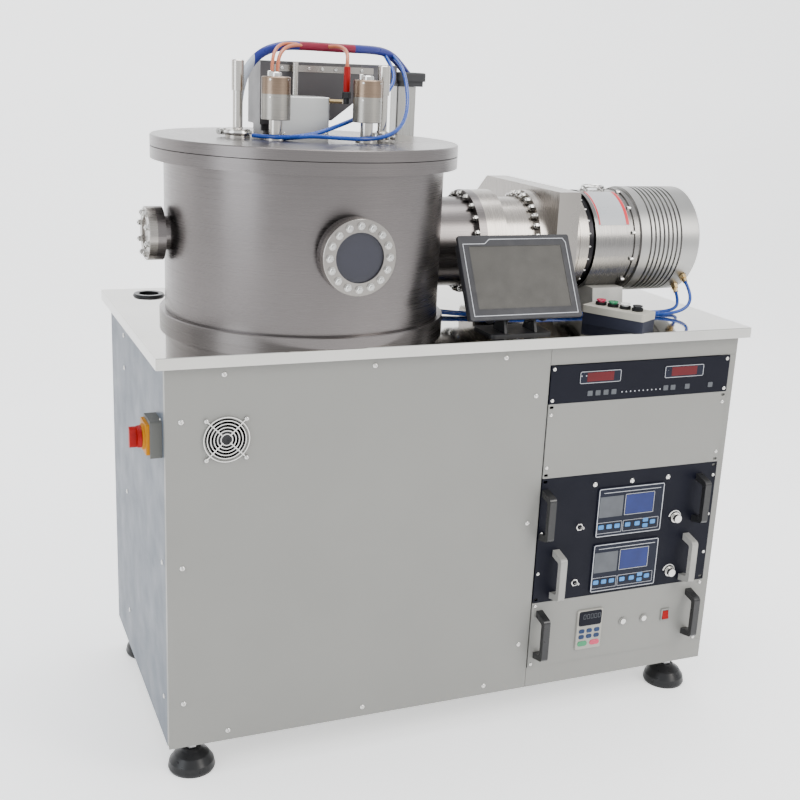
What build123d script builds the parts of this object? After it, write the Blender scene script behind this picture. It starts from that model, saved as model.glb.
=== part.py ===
from build123d import *
import math
import os

os.makedirs("parts", exist_ok=True)

# Driving dimensions, in millimetres
# Cabinet and worktop
CAB_W, CAB_D = 1360, 660
CAB_BOTTOM, CAB_TOP = 85, 929
TOP_W, TOP_D, TOP_T = 1400, 700, 24
WORK_Z = CAB_TOP + TOP_T
TUBE = 40
SHEET = 2
SWITCH_REACH = 60
HANDLE_REACH = 45
VIEW_REACH = 400

# The origin is on the floor below the middle of the whole outline, so the
# cabinet sits a little to the right and to the back of it
X0 = (CAB_W / 2 + SWITCH_REACH - TOP_W / 2) / 2
Y0 = (VIEW_REACH - TOP_D / 2) / 2
FRONT_Y = Y0 - CAB_D / 2
BACK_Y = Y0 + CAB_D / 2
LEFT_X = X0 - CAB_W / 2
RIGHT_X = X0 + CAB_W / 2

# Rack bay on the right of the front, 19 inch panels from the top down
RACK_W = 482.6
RACK_L = RIGHT_X - 19 - RACK_W
RACK_X = RACK_L + RACK_W / 2
RACK_TOP = 884.5
UNIT = 44.45
PANEL_T = 3
GAUGE_H = 2 * UNIT
BLANK_H = 4 * UNIT
POWER_H = 7 * UNIT
CONTROL_H = 169
GAUGE_Z = RACK_TOP - GAUGE_H
BLANK_Z = GAUGE_Z - BLANK_H
POWER_Z = BLANK_Z - POWER_H
CONTROL_Z = POWER_Z - CONTROL_H

# Vacuum chamber
CH_X, CH_Y = X0 - 309, Y0 - 35
BODY_R, WALL = 304.5, 6
BASE_R, BASE_H = 317, 24
FLANGE_R = 333
BASE_TOP = WORK_Z + BASE_H
FLANGE_Z, FLANGE_TOP = 1301, 1326
LID_Z, LID_TOP = 1327.5, 1350
PORT_Z = 1147

# Pump line, on one axis to the right of the chamber
PUMP_Z = 1119
PIPE_R, PIPE_BORE = 103, 99
LINE_FLANGE_R = 120
PUMP_R = 128
CASE_R = 119.5


def save(piece, name):
    piece.part.label = name
    export_step(piece.part, "parts/" + name + ".step")


def save_group(pieces, name):
    # several separate solids that share one node
    group = Compound([solid for piece in pieces for solid in piece.part.solids()])
    group.label = name
    export_step(group, "parts/" + name + ".step")


def box_between(low, high):
    # a plain plate or bar from its low corner to its high corner
    size = [b - a for a, b in zip(low, high)]
    middle = tuple((a + b) / 2 for a, b in zip(low, high))
    with Locations(middle):
        Box(*size)


def upright_plane(x, y, z):
    # a sketch plane facing the front, x to the right and y up
    return Plane(origin=(x, y, z), x_dir=(1, 0, 0), z_dir=(0, -1, 0))


def turned(plane_origin, profile):
    # a solid of revolution about the vertical line through plane_origin,
    # from (radius, height) points
    with BuildSketch(upright_plane(*plane_origin)) as section:
        with BuildLine():
            Polyline(*profile, close=True)
        make_face()
    revolve(section.sketch, axis=Axis(plane_origin, (0, 0, 1)))


def line_turned(profile):
    # a solid of revolution about the pump line, from (distance along X, radius)
    # points, the distance counted from the chamber's axis
    with BuildSketch(upright_plane(CH_X, CH_Y, PUMP_Z)) as section:
        with BuildLine():
            Polyline(*profile, close=True)
        make_face()
    revolve(section.sketch, axis=Axis((CH_X, CH_Y, PUMP_Z), (1, 0, 0)))


# Welded frame: square tubes butted face to face
frame_bottom = CAB_BOTTOM + SHEET
inner_l, inner_r = LEFT_X + SHEET, RIGHT_X - SHEET
inner_f, inner_b = FRONT_Y + SHEET, BACK_Y - SHEET
rack_post_l = RACK_L - TUBE - 2
with BuildPart() as frame_uprights:
    with BuildSketch(Plane.XY.offset(frame_bottom)):
        corners = [(inner_l, inner_f), (inner_r - TUBE, inner_f), (inner_l, inner_b - TUBE),
                   (inner_r - TUBE, inner_b - TUBE), (rack_post_l, inner_f)]
        for cx, cy in corners:
            with Locations((cx + TUBE / 2, cy + TUBE / 2)):
                Rectangle(TUBE, TUBE)
                Rectangle(TUBE - 6, TUBE - 6, mode=Mode.SUBTRACT)
    extrude(amount=CAB_TOP - frame_bottom)

with BuildPart() as frame_rails_long:
    rail_len = inner_r - inner_l - 2 * TUBE
    for z in (frame_bottom, CAB_TOP - TUBE):
        with BuildSketch(Plane(origin=(inner_l + TUBE, 0, z + TUBE / 2), x_dir=(0, 1, 0), z_dir=(1, 0, 0))):
            with Locations((inner_b - TUBE / 2, 0)):
                Rectangle(TUBE, TUBE)
                Rectangle(TUBE - 6, TUBE - 6, mode=Mode.SUBTRACT)
        extrude(amount=rail_len)
    front_run = rack_post_l - inner_l - TUBE
    for z in (frame_bottom, CAB_TOP - TUBE):
        with BuildSketch(Plane(origin=(inner_l + TUBE, 0, z + TUBE / 2), x_dir=(0, 1, 0), z_dir=(1, 0, 0))):
            with Locations((inner_f + TUBE / 2, 0)):
                Rectangle(TUBE, TUBE)
                Rectangle(TUBE - 6, TUBE - 6, mode=Mode.SUBTRACT)
        extrude(amount=front_run)

with BuildPart() as frame_rails_cross:
    cross_len = inner_b - inner_f - 2 * TUBE
    for z in (frame_bottom, CAB_TOP - TUBE):
        with BuildSketch(Plane(origin=(0, inner_f + TUBE, z + TUBE / 2), x_dir=(-1, 0, 0), z_dir=(0, 1, 0))):
            for rx in (inner_l + TUBE / 2, inner_r - TUBE / 2):
                with Locations((-rx, 0)):
                    Rectangle(TUBE, TUBE)
                    Rectangle(TUBE - 6, TUBE - 6, mode=Mode.SUBTRACT)
        extrude(amount=cross_len)

# Cabinet skins, folded sheet
FAN_X, FAN_Z = X0 - 557, 774
FAN_R = 43
FAN_PITCH = 82.5
FAN_FRAME = 92
panel_right = RACK_L - 2
with BuildPart() as front_panel:
    with BuildSketch(upright_plane(0, FRONT_Y + SHEET, 0)):
        with Locations(((LEFT_X + panel_right) / 2, (CAB_BOTTOM + CAB_TOP) / 2)):
            RectangleRounded(panel_right - LEFT_X, CAB_TOP - CAB_BOTTOM, 1.5)
        with Locations((FAN_X, FAN_Z)):
            Circle(FAN_R, mode=Mode.SUBTRACT)
    extrude(amount=SHEET)
    # folded return along the left edge
    box_between((LEFT_X, FRONT_Y + SHEET, CAB_BOTTOM + 4), (LEFT_X + SHEET, FRONT_Y + 16, CAB_TOP - 1))

with BuildPart() as rack_surround:
    box_between((RACK_L - 1, FRONT_Y, RACK_TOP + 1), (RIGHT_X, FRONT_Y + SHEET, CAB_TOP))
    box_between((RACK_L - 1, FRONT_Y, CAB_BOTTOM), (RIGHT_X, FRONT_Y + SHEET, CONTROL_Z - 1))
    box_between((RACK_L + RACK_W + 1, FRONT_Y, CONTROL_Z - 0.5), (RIGHT_X, FRONT_Y + SHEET, RACK_TOP + 0.5))

with BuildPart() as left_panel:
    box_between((LEFT_X, FRONT_Y + 17, CAB_BOTTOM), (LEFT_X + SHEET, BACK_Y, CAB_TOP))

LOUVRE_COUNT = 9
with BuildPart() as right_panel:
    box_between((RIGHT_X - SHEET, FRONT_Y + SHEET, CAB_BOTTOM), (RIGHT_X, BACK_Y, CAB_TOP))
    with BuildSketch(Plane(origin=(RIGHT_X - SHEET - 1, Y0 + 60, 300), x_dir=(0, 1, 0), z_dir=(1, 0, 0))):
        with GridLocations(0, 18, 1, LOUVRE_COUNT):
            SlotOverall(160, 6)
    extrude(amount=SHEET + 2, mode=Mode.SUBTRACT)

with BuildPart() as rear_panel:
    box_between((LEFT_X + SHEET, BACK_Y - SHEET, CAB_BOTTOM), (RIGHT_X - SHEET, BACK_Y, CAB_TOP))
    with BuildSketch(upright_plane(X0 + 300, BACK_Y + 1, 620)):
        with GridLocations(0, 18, 1, LOUVRE_COUNT):
            SlotOverall(220, 6)
    extrude(amount=SHEET + 2, mode=Mode.SUBTRACT)
save_group([left_panel, right_panel, rear_panel], "side_panels")

with BuildPart() as floor_panel:
    box_between((inner_l, inner_f, CAB_BOTTOM), (inner_r, inner_b, CAB_BOTTOM + SHEET))
save_group([frame_uprights, frame_rails_long, frame_rails_cross, floor_panel], "cabinet_frame")

# Worktop with a cable hole at its back left corner and a shaft hole under the chamber
GROMMET_X, GROMMET_Y, GROMMET_R = X0 - 600, Y0 + 262, 30
STAGE_TUBE_R = 24
TOP_SKIN, RIB_W = 4, 16
POCKET_W, POCKET_D = 240, 278
with BuildPart() as worktop:
    with BuildSketch(Plane.XY.offset(CAB_TOP)):
        with Locations((X0, Y0)):
            RectangleRounded(TOP_W, TOP_D, 3)
        with Locations((GROMMET_X, GROMMET_Y)):
            Circle(GROMMET_R, mode=Mode.SUBTRACT)
        with Locations((CH_X, CH_Y)):
            Circle(STAGE_TUBE_R + 1, mode=Mode.SUBTRACT)
    extrude(amount=TOP_T)
    # pockets from below, with bosses left round the two holes
    with BuildSketch(Plane.XY.offset(CAB_TOP)):
        with Locations((X0, Y0)):
            with GridLocations(POCKET_W + RIB_W, POCKET_D + RIB_W, 5, 2):
                RectangleRounded(POCKET_W, POCKET_D, 6)
        with Locations((GROMMET_X, GROMMET_Y)):
            Circle(GROMMET_R + 10, mode=Mode.SUBTRACT)
        with Locations((CH_X, CH_Y)):
            Circle(STAGE_TUBE_R + 30, mode=Mode.SUBTRACT)
    extrude(amount=TOP_T - TOP_SKIN, mode=Mode.SUBTRACT)
    chamfer(worktop.faces().sort_by(Axis.Z)[-1].outer_wire().edges(), 1.2)
save(worktop, "worktop")

with BuildPart() as cable_grommet:
    turned((GROMMET_X, GROMMET_Y, 0), [
        (GROMMET_R - 6, CAB_TOP + 4), (GROMMET_R - 0.3, CAB_TOP + 4), (GROMMET_R - 0.3, WORK_Z),
        (GROMMET_R + 8, WORK_Z), (GROMMET_R + 5, WORK_Z + 5), (GROMMET_R - 6, WORK_Z + 5)])
save(cable_grommet, "cable_grommet")

# Levelling feet
FOOT_INSET = 60
foot_places = [(x, y) for x in (LEFT_X + FOOT_INSET, RIGHT_X - FOOT_INSET)
               for y in (FRONT_Y + 55, BACK_Y - 55)]
with BuildPart() as foot_pads:
    for fx, fy in foot_places:
        turned((fx, fy, 0), [(0, 0), (50, 0), (52, 6), (49, 20), (38, 36), (24, 46), (20, 50), (0, 50)])

with BuildPart() as foot_studs:
    with BuildSketch(Plane.XY.offset(50)):
        with Locations(*foot_places):
            Circle(9)
    extrude(amount=CAB_BOTTOM - 50)
    with BuildSketch(Plane.XY.offset(52)):
        with Locations(*foot_places):
            RegularPolygon(14, 6)
    extrude(amount=9)
    with BuildSketch(Plane.XY.offset(CAB_BOTTOM - 10)):
        with Locations(*foot_places):
            RegularPolygon(14, 6)
    extrude(amount=10)
save_group([foot_pads, foot_studs], "levelling_feet")

# Cooling fan behind the front panel
PIN_R = 3
with BuildPart() as fan_frame:
    with BuildSketch(upright_plane(FAN_X, FRONT_Y + SHEET + 25, FAN_Z)):
        RectangleRounded(FAN_FRAME, FAN_FRAME, 5)
        Circle(FAN_R, mode=Mode.SUBTRACT)
    extrude(amount=25)
    with BuildSketch(upright_plane(FAN_X, FRONT_Y + SHEET + 25, FAN_Z)):
        Circle(17)
        for turn in (45, 135, 225, 315):
            with Locations(Rotation(0, 0, turn)):
                with Locations((30, 0)):
                    Rectangle(32, 5)
    extrude(amount=4)
    with BuildSketch(upright_plane(FAN_X, FRONT_Y + SHEET + 25, FAN_Z)):
        Circle(PIN_R + 0.05)
    extrude(amount=4, mode=Mode.SUBTRACT)
save(fan_frame, "fan_frame")

BLADES = 7
PITCH_ANGLE = math.radians(50)
with BuildPart() as fan_rotor:
    with BuildSketch(upright_plane(FAN_X, FRONT_Y + SHEET + 20.5, FAN_Z)):
        Circle(16)
    extrude(amount=17.5)
    with BuildSketch(upright_plane(FAN_X, FRONT_Y + SHEET + 24.5, FAN_Z)):
        Circle(PIN_R)
    extrude(amount=5)
    for step in range(BLADES):
        turn = math.radians(step * 360 / BLADES)
        blade_plane = Plane(origin=(FAN_X, FRONT_Y + SHEET + 12, FAN_Z),
                            x_dir=(math.cos(turn), 0, math.sin(turn)),
                            z_dir=(-math.sin(turn) * math.cos(PITCH_ANGLE), math.sin(PITCH_ANGLE),
                                   math.cos(turn) * math.cos(PITCH_ANGLE)))
        with BuildSketch(blade_plane.offset(-0.8)):
            with Locations((27.5, 0)):
                Trapezoid(14, 27, 84, rotation=-90)
        extrude(amount=1.6)
save(fan_rotor, "fan_rotor")

GUARD_Y = FRONT_Y - 4
with BuildPart() as fan_guard:
    for ring_r in (12, 19, 26, 33, 40, 47):
        with BuildSketch(upright_plane(FAN_X, GUARD_Y + 1, FAN_Z)):
            Circle(ring_r + 1)
            Circle(ring_r - 1, mode=Mode.SUBTRACT)
        extrude(amount=2)
    with BuildSketch(upright_plane(FAN_X, GUARD_Y + 2.5, FAN_Z)):
        for turn in (45, 135, 225, 315):
            with Locations(Rotation(0, 0, turn)):
                with Locations((35, 0)):
                    Rectangle(50, 2.4)
    extrude(amount=2)
    with BuildSketch(upright_plane(FAN_X, FRONT_Y, FAN_Z)):
        with GridLocations(FAN_PITCH, FAN_PITCH, 2, 2):
            Circle(4.5)
    extrude(amount=5)
save(fan_guard, "fan_guard")

# Isolator switch on the left side
SWITCH_Y, SWITCH_Z = FRONT_Y + 66, 772
side_plane = Plane(origin=(LEFT_X, SWITCH_Y, SWITCH_Z), x_dir=(0, -1, 0), z_dir=(-1, 0, 0))
with BuildPart() as switch_box:
    with BuildSketch(side_plane):
        RectangleRounded(72, 78, 6)
    extrude(amount=24)

with BuildPart() as switch_plate:
    with BuildSketch(side_plane.offset(24)):
        RectangleRounded(64, 64, 4)
        Circle(10, mode=Mode.SUBTRACT)
    extrude(amount=7)
    with BuildSketch(side_plane.offset(31)):
        Circle(27)
        Circle(10, mode=Mode.SUBTRACT)
    extrude(amount=5, taper=12)
save_group([switch_box, switch_plate], "switch_housing")

with BuildPart() as switch_knob:
    with BuildSketch(side_plane.offset(36.4)):
        Circle(23)
    extrude(amount=8, taper=4)
    with BuildSketch(side_plane.offset(44)):
        SlotOverall(44, 13, rotation=90)
    extrude(amount=SWITCH_REACH - 44)
    with BuildSketch(side_plane.offset(25)):
        Circle(9.95)
    extrude(amount=12)
save(switch_knob, "switch_knob")


# Rack units: a front panel with its chassis behind it, open at the back
FRONT_WALL, CHASSIS_T = 12, 1.5


def rack_unit(low_z, height, depth):
    with BuildSketch(upright_plane(RACK_X, FRONT_Y, low_z + height / 2)) as plate:
        RectangleRounded(RACK_W, height - 0.8, 1.5)
        for sx in (-1, 1):
            for sz in (-1, 1):
                with Locations((sx * (RACK_W / 2 - 8), sz * (height / 2 - 8))):
                    SlotOverall(11, 6.5, mode=Mode.SUBTRACT)
    extrude(plate.sketch, amount=PANEL_T)
    if depth:
        with BuildSketch(upright_plane(RACK_X, FRONT_Y, low_z + height / 2)) as chassis:
            Rectangle(434, height - 4)
        extrude(chassis.sketch, amount=-depth)
        with BuildSketch(upright_plane(RACK_X, FRONT_Y + FRONT_WALL, low_z + height / 2)) as inside:
            Rectangle(434 - 2 * CHASSIS_T, height - 4 - 2 * CHASSIS_T)
        extrude(inside.sketch, amount=FRONT_WALL - depth, mode=Mode.SUBTRACT)


GAUGE_WINDOWS = [(-113, 13), (114, 13)]
WINDOW_W, WINDOW_H = 108, 29
with BuildPart() as gauge_unit:
    rack_unit(GAUGE_Z, GAUGE_H, 230)
    with BuildSketch(upright_plane(RACK_X, FRONT_Y - PANEL_T, GAUGE_Z + GAUGE_H / 2)):
        with Locations(*GAUGE_WINDOWS):
            RectangleRounded(WINDOW_W, WINDOW_H, 4)
    extrude(amount=-6, mode=Mode.SUBTRACT)
save(gauge_unit, "gauge_unit")

with BuildPart() as gauge_windows:
    with BuildSketch(upright_plane(RACK_X, FRONT_Y + 3, GAUGE_Z + GAUGE_H / 2)):
        with Locations(*GAUGE_WINDOWS):
            RectangleRounded(WINDOW_W, WINDOW_H, 4)
    extrude(amount=7)

with BuildPart() as blank_panel:
    rack_unit(BLANK_Z, BLANK_H, 0)
save_group([front_panel, rack_surround, blank_panel], "front_panels")

# two power supplies share one panel, each with a display, a knob and a toggle
PANEL_FACE = FRONT_Y - PANEL_T
KNOB_X, TOGGLE_X = RACK_X + 135, RACK_X - 132
DISPLAY_X, DISPLAY_W, DISPLAY_H = RACK_X + 2, 183, 124
DISPLAY_Z = {"upper": 518, "lower": 376}
KNOB_UP, TOGGLE_UP = -34, -30
BALL_R, BALL_OUT = 2.8, 1
with BuildPart() as power_units:
    rack_unit(POWER_Z, POWER_H, 380)
    for middle in DISPLAY_Z.values():
        # a bore for the knob's shaft and a collar for the toggle's ball
        with BuildSketch(upright_plane(KNOB_X, FRONT_Y + 5, middle + KNOB_UP)):
            Circle(PIN_R + 0.05)
        extrude(amount=5 + PANEL_T, mode=Mode.SUBTRACT)
        with BuildSketch(upright_plane(TOGGLE_X, PANEL_FACE, middle + TOGGLE_UP)):
            Circle(6)
        extrude(amount=3)
        with BuildSketch(upright_plane(TOGGLE_X, PANEL_FACE + 2.2, middle + TOGGLE_UP)):
            Circle(BALL_R + 0.08)
        extrude(amount=5.2, mode=Mode.SUBTRACT)
save(power_units, "power_units")

CONTROLS_UP = CONTROL_H - 83
BUTTON_PLACES = [(RACK_X + 15, CONTROL_Z + CONTROLS_UP), (RACK_X + 75, CONTROL_Z + CONTROLS_UP)]
CAP_R = 7
ROCKER_X, ROCKER_Z = RACK_X + 138, CONTROL_Z + CONTROLS_UP
with BuildPart() as control_unit:
    rack_unit(CONTROL_Z, CONTROL_H, 300)
    # wells behind the two buttons and the rocker
    with BuildSketch(upright_plane(0, PANEL_FACE + 7, 0)):
        with Locations(*BUTTON_PLACES):
            Circle(CAP_R + 0.1)
    extrude(amount=7, mode=Mode.SUBTRACT)
    with BuildSketch(upright_plane(ROCKER_X, PANEL_FACE + 3, ROCKER_Z)):
        Rectangle(18, 25)
    extrude(amount=3, mode=Mode.SUBTRACT)

with BuildPart() as power_displays:
    for middle in DISPLAY_Z.values():
        with BuildSketch(upright_plane(DISPLAY_X, PANEL_FACE, middle)):
            RectangleRounded(DISPLAY_W, DISPLAY_H, 5)
        extrude(amount=4)
    fillet(power_displays.faces().group_by(Axis.Y)[0].edges(), 1)

KEYPAD_X, KEYPAD_Z = RACK_X - 81, 218
KEYPAD_W, KEYPAD_H = 70, 104
with BuildPart() as keypad:
    with BuildSketch(upright_plane(KEYPAD_X, PANEL_FACE, KEYPAD_Z)):
        RectangleRounded(KEYPAD_W, KEYPAD_H, 4)
    extrude(amount=5)
    fillet(keypad.faces().group_by(Axis.Y)[0].edges(), 1.5)
save_group([gauge_windows, power_displays, keypad], "panel_displays")


# Bow handles, in pairs
def bow_handles(middle_x, middle_z, reach_x):
    for side in (-1, 1):
        low_x = middle_x + side * reach_x - BOW_T / 2
        plane = Plane(origin=(low_x, PANEL_FACE, middle_z), x_dir=(0, -1, 0), z_dir=(1, 0, 0))
        outer = HANDLE_REACH - PANEL_T
        with BuildSketch(plane) as bow:
            with BuildLine():
                FilletPolyline((0, -BOW_H / 2), (outer, -BOW_H / 2 + 10), (outer, BOW_H / 2 - 10),
                               (0, BOW_H / 2), radius=10)
                Line((0, BOW_H / 2), (0, BOW_H / 2 - 16))
                FilletPolyline((0, BOW_H / 2 - 16), (outer - 13, BOW_H / 2 - 22),
                               (outer - 13, -BOW_H / 2 + 22), (0, -BOW_H / 2 + 16), radius=5)
                Line((0, -BOW_H / 2 + 16), (0, -BOW_H / 2))
            make_face()
        extrude(bow.sketch, amount=BOW_T)


BOW_H, BOW_T = 124, 17
with BuildPart() as power_handles_upper:
    bow_handles(RACK_X - 20, 530, 212)

with BuildPart() as power_handles_lower:
    bow_handles(RACK_X - 8, 376, 182)

with BuildPart() as control_handles:
    bow_handles(RACK_X - 10, 224, 211)
save_group([power_handles_upper, power_handles_lower, control_handles], "rack_handles")


# Turning knobs, toggles and buttons on the rack
def turning_knob(middle):
    seat = upright_plane(KNOB_X, PANEL_FACE - 0.4, middle + KNOB_UP)
    with BuildSketch(seat) as grip:
        Circle(10.5)
    extrude(grip.sketch, amount=15, taper=3)
    with BuildSketch(seat.offset(-7)) as shaft:
        Circle(PIN_R)
    extrude(shaft.sketch, amount=7)
    with BuildSketch(seat) as skirt:
        Circle(13)
    extrude(skirt.sketch, amount=4)


with BuildPart() as power_knob_upper:
    turning_knob(DISPLAY_Z["upper"])
save(power_knob_upper, "power_knob_upper")

with BuildPart() as power_knob_lower:
    turning_knob(DISPLAY_Z["lower"])
save(power_knob_lower, "power_knob_lower")


TOGGLE_LEAN = 13


def toggle_lever(middle):
    # thrown up, about the middle of its ball
    lean = math.radians(TOGGLE_LEAN)
    centre = (TOGGLE_X, PANEL_FACE - BALL_OUT, middle + TOGGLE_UP)
    along = Plane(origin=centre, x_dir=(1, 0, 0), z_dir=(0, -math.cos(lean), math.sin(lean)))
    with BuildSketch(along) as lever:
        Circle(1.9)
    extrude(lever.sketch, amount=17, taper=-4)
    with Locations(centre):
        Sphere(BALL_R)


with BuildPart() as toggle_upper:
    toggle_lever(DISPLAY_Z["upper"])
save(toggle_upper, "toggle_upper")

with BuildPart() as toggle_lower:
    toggle_lever(DISPLAY_Z["lower"])
save(toggle_lower, "toggle_lower")

with BuildPart() as button_bezels:
    with BuildSketch(upright_plane(0, PANEL_FACE, 0)):
        with Locations(*BUTTON_PLACES):
            Circle(10)
            Circle(CAP_R + 0.1, mode=Mode.SUBTRACT)
    extrude(amount=3)


def round_button(place):
    with BuildSketch(upright_plane(place[0], PANEL_FACE + 4, place[1])) as face:
        Circle(CAP_R)
    extrude(face.sketch, amount=9)


with BuildPart() as start_button:
    round_button(BUTTON_PLACES[0])
save(start_button, "start_button")

with BuildPart() as stop_button:
    round_button(BUTTON_PLACES[1])
save(stop_button, "stop_button")

ROCKER_AXIS = (ROCKER_X, PANEL_FACE - 2.2, ROCKER_Z)
with BuildPart() as rocker_frame:
    with BuildSketch(upright_plane(ROCKER_X, PANEL_FACE, ROCKER_Z)):
        RectangleRounded(24, 32, 2)
        Rectangle(18, 25, mode=Mode.SUBTRACT)
    extrude(amount=4)
    with Locations(ROCKER_AXIS):
        Cylinder(1.55, 21, rotation=(0, 90, 0), mode=Mode.SUBTRACT)
save_group([control_unit, button_bezels, rocker_frame], "control_unit")

with BuildPart() as rocker:
    rocker_plane = Plane(origin=(ROCKER_X - 8.5, PANEL_FACE - 2.2, ROCKER_Z), x_dir=(0, -1, 0), z_dir=(1, 0, 0))
    with BuildSketch(rocker_plane):
        with BuildLine():
            Polyline((0, -10), (0.4, -10), (2.6, 0), (5.2, 10), (0, 10), close=True)
        make_face()
    extrude(amount=17)
    with Locations(ROCKER_AXIS):
        Cylinder(1.5, 20, rotation=(0, 90, 0))
save(rocker, "rocker")


# Vacuum chamber, its flanges, ports and base
FRONT_PORT = upright_plane(CH_X, CH_Y, PORT_Z)
LEFT_PORT = Plane(origin=(CH_X, CH_Y, PORT_Z), x_dir=(0, -1, 0), z_dir=(-1, 0, 0))
LINE = Plane(origin=(CH_X, CH_Y, PUMP_Z), x_dir=(0, 1, 0), z_dir=(1, 0, 0))
VIEW_R, VIEW_BORE, VIEW_T = 76, 50, 20
SIDE_R, SIDE_BORE, SIDE_T = 57, 33, 17.5
VIEW_FACE = 365
SIDE_FACE = 351
LINE_A = 381

with BuildPart() as chamber_base:
    with BuildSketch(Plane.XY.offset(WORK_Z)):
        with Locations((CH_X, CH_Y)):
            Circle(BASE_R)
            Circle(STAGE_TUBE_R + 1, mode=Mode.SUBTRACT)
    extrude(amount=BASE_H)
    chamfer(chamber_base.faces().sort_by(Axis.Z)[-1].outer_wire().edges(), 2)


def port_neck(plane, neck_r, flange_r, flange_low, flange_t):
    with BuildSketch(plane.offset(BODY_R - 60)) as neck:
        Circle(neck_r)
    extrude(neck.sketch, amount=flange_low - BODY_R + 60)
    with BuildSketch(plane.offset(flange_low)) as rim:
        Circle(flange_r)
    extrude(rim.sketch, amount=flange_t)


with BuildPart() as chamber_body:
    with BuildSketch(Plane.XY.offset(BASE_TOP)):
        with Locations((CH_X, CH_Y)):
            Circle(BODY_R)
    extrude(amount=FLANGE_Z - BASE_TOP)
    port_neck(FRONT_PORT, VIEW_BORE + 3, VIEW_R, VIEW_FACE - 2 * VIEW_T, VIEW_T)
    port_neck(LEFT_PORT, SIDE_BORE + 3, SIDE_R, SIDE_FACE - 2 * SIDE_T, SIDE_T)
    port_neck(LINE, PIPE_R, LINE_FLANGE_R, LINE_A, 19)
    with BuildSketch(Plane.XY.offset(BASE_TOP)):
        with Locations((CH_X, CH_Y)):
            Circle(BODY_R - WALL)
    extrude(amount=FLANGE_Z - BASE_TOP, mode=Mode.SUBTRACT)
    for plane, bore, far in ((FRONT_PORT, VIEW_BORE, VIEW_FACE), (LEFT_PORT, SIDE_BORE, SIDE_FACE),
                             (LINE, PIPE_BORE, LINE_A + 40)):
        with BuildSketch(plane.offset(BODY_R - 90)):
            Circle(bore)
        extrude(amount=far - BODY_R + 90, mode=Mode.SUBTRACT)
save(chamber_body, "chamber_body")

# ring welded on the shell's top edge, with a groove for the lid seal
with BuildPart() as chamber_flange:
    with BuildSketch(Plane.XY.offset(FLANGE_Z)):
        with Locations((CH_X, CH_Y)):
            Circle(FLANGE_R)
            Circle(BODY_R - WALL, mode=Mode.SUBTRACT)
    extrude(amount=FLANGE_TOP - FLANGE_Z)
    with BuildSketch(Plane.XY.offset(FLANGE_TOP - 5)):
        with Locations((CH_X, CH_Y)):
            Circle(320)
            Circle(314, mode=Mode.SUBTRACT)
    extrude(amount=5, mode=Mode.SUBTRACT)
save(chamber_flange, "chamber_flange")

with BuildPart() as lid_seal:
    with BuildSketch(Plane.XY.offset(FLANGE_TOP - 5)):
        with Locations((CH_X, CH_Y)):
            Circle(320)
            Circle(314, mode=Mode.SUBTRACT)
    extrude(amount=5 + LID_Z - FLANGE_TOP)
save(lid_seal, "lid_seal")

with BuildPart() as viewport_flange:
    with BuildSketch(FRONT_PORT.offset(VIEW_FACE - VIEW_T)):
        Circle(VIEW_R)
        Circle(VIEW_BORE, mode=Mode.SUBTRACT)
    extrude(amount=VIEW_T)
    chamfer(viewport_flange.faces().sort_by(Axis.Y)[0].outer_wire().edges(), 1)

with BuildPart() as viewport_glass:
    with BuildSketch(FRONT_PORT.offset(VIEW_FACE - 14)):
        Circle(VIEW_BORE)
    extrude(amount=8)
save(viewport_glass, "viewport_glass")

with BuildPart() as side_port_blank:
    with BuildSketch(LEFT_PORT.offset(SIDE_FACE - SIDE_T)):
        Circle(SIDE_R)
    extrude(amount=SIDE_T)
    with BuildSketch(LEFT_PORT.offset(SIDE_FACE - 4)):
        Circle(34)
    extrude(amount=4, mode=Mode.SUBTRACT)
    chamfer(side_port_blank.faces().sort_by(Axis.X)[0].outer_wire().edges(), 1)
save_group([viewport_flange, side_port_blank], "port_flanges")

# Rotating sample stage with its feedthrough and drive below the worktop
STAGE_SHAFT_R = 10
STAGE_Z = BASE_TOP + 60
with BuildPart() as stage_feedthrough:
    turned((CH_X, CH_Y, 0), [
        (STAGE_SHAFT_R + 0.05, CAB_TOP - 60), (STAGE_TUBE_R, CAB_TOP - 60), (STAGE_TUBE_R, BASE_TOP),
        (STAGE_TUBE_R + 14, BASE_TOP), (STAGE_TUBE_R + 14, BASE_TOP + 8), (STAGE_TUBE_R - 6, BASE_TOP + 14),
        (STAGE_SHAFT_R + 0.05, BASE_TOP + 14)])

with BuildPart() as stage_motor:
    with BuildSketch(Plane.XY.offset(CAB_TOP - 170)):
        with Locations((CH_X, CH_Y)):
            RectangleRounded(86, 86, 6)
    extrude(amount=110)
    with Locations((CH_X, CH_Y, CAB_TOP - 60)):
        Cylinder(STAGE_SHAFT_R + 2, 40, align=(Align.CENTER, Align.CENTER, Align.MAX), mode=Mode.SUBTRACT)
save_group([chamber_base, stage_feedthrough, stage_motor], "chamber_base")

with BuildPart() as sample_stage:
    turned((CH_X, CH_Y, 0), [
        (0, CAB_TOP - 95), (STAGE_SHAFT_R, CAB_TOP - 95), (STAGE_SHAFT_R, STAGE_Z - 14), (26, STAGE_Z - 14),
        (26, STAGE_Z - 8), (120, STAGE_Z - 8), (120, STAGE_Z), (116, STAGE_Z + 2), (0, STAGE_Z + 2)])
    with BuildSketch(Plane.XY.offset(STAGE_Z - 8)):
        with Locations((CH_X, CH_Y)):
            with PolarLocations(78, 6):
                Circle(14)
    extrude(amount=10, mode=Mode.SUBTRACT)
save(sample_stage, "sample_stage")

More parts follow.
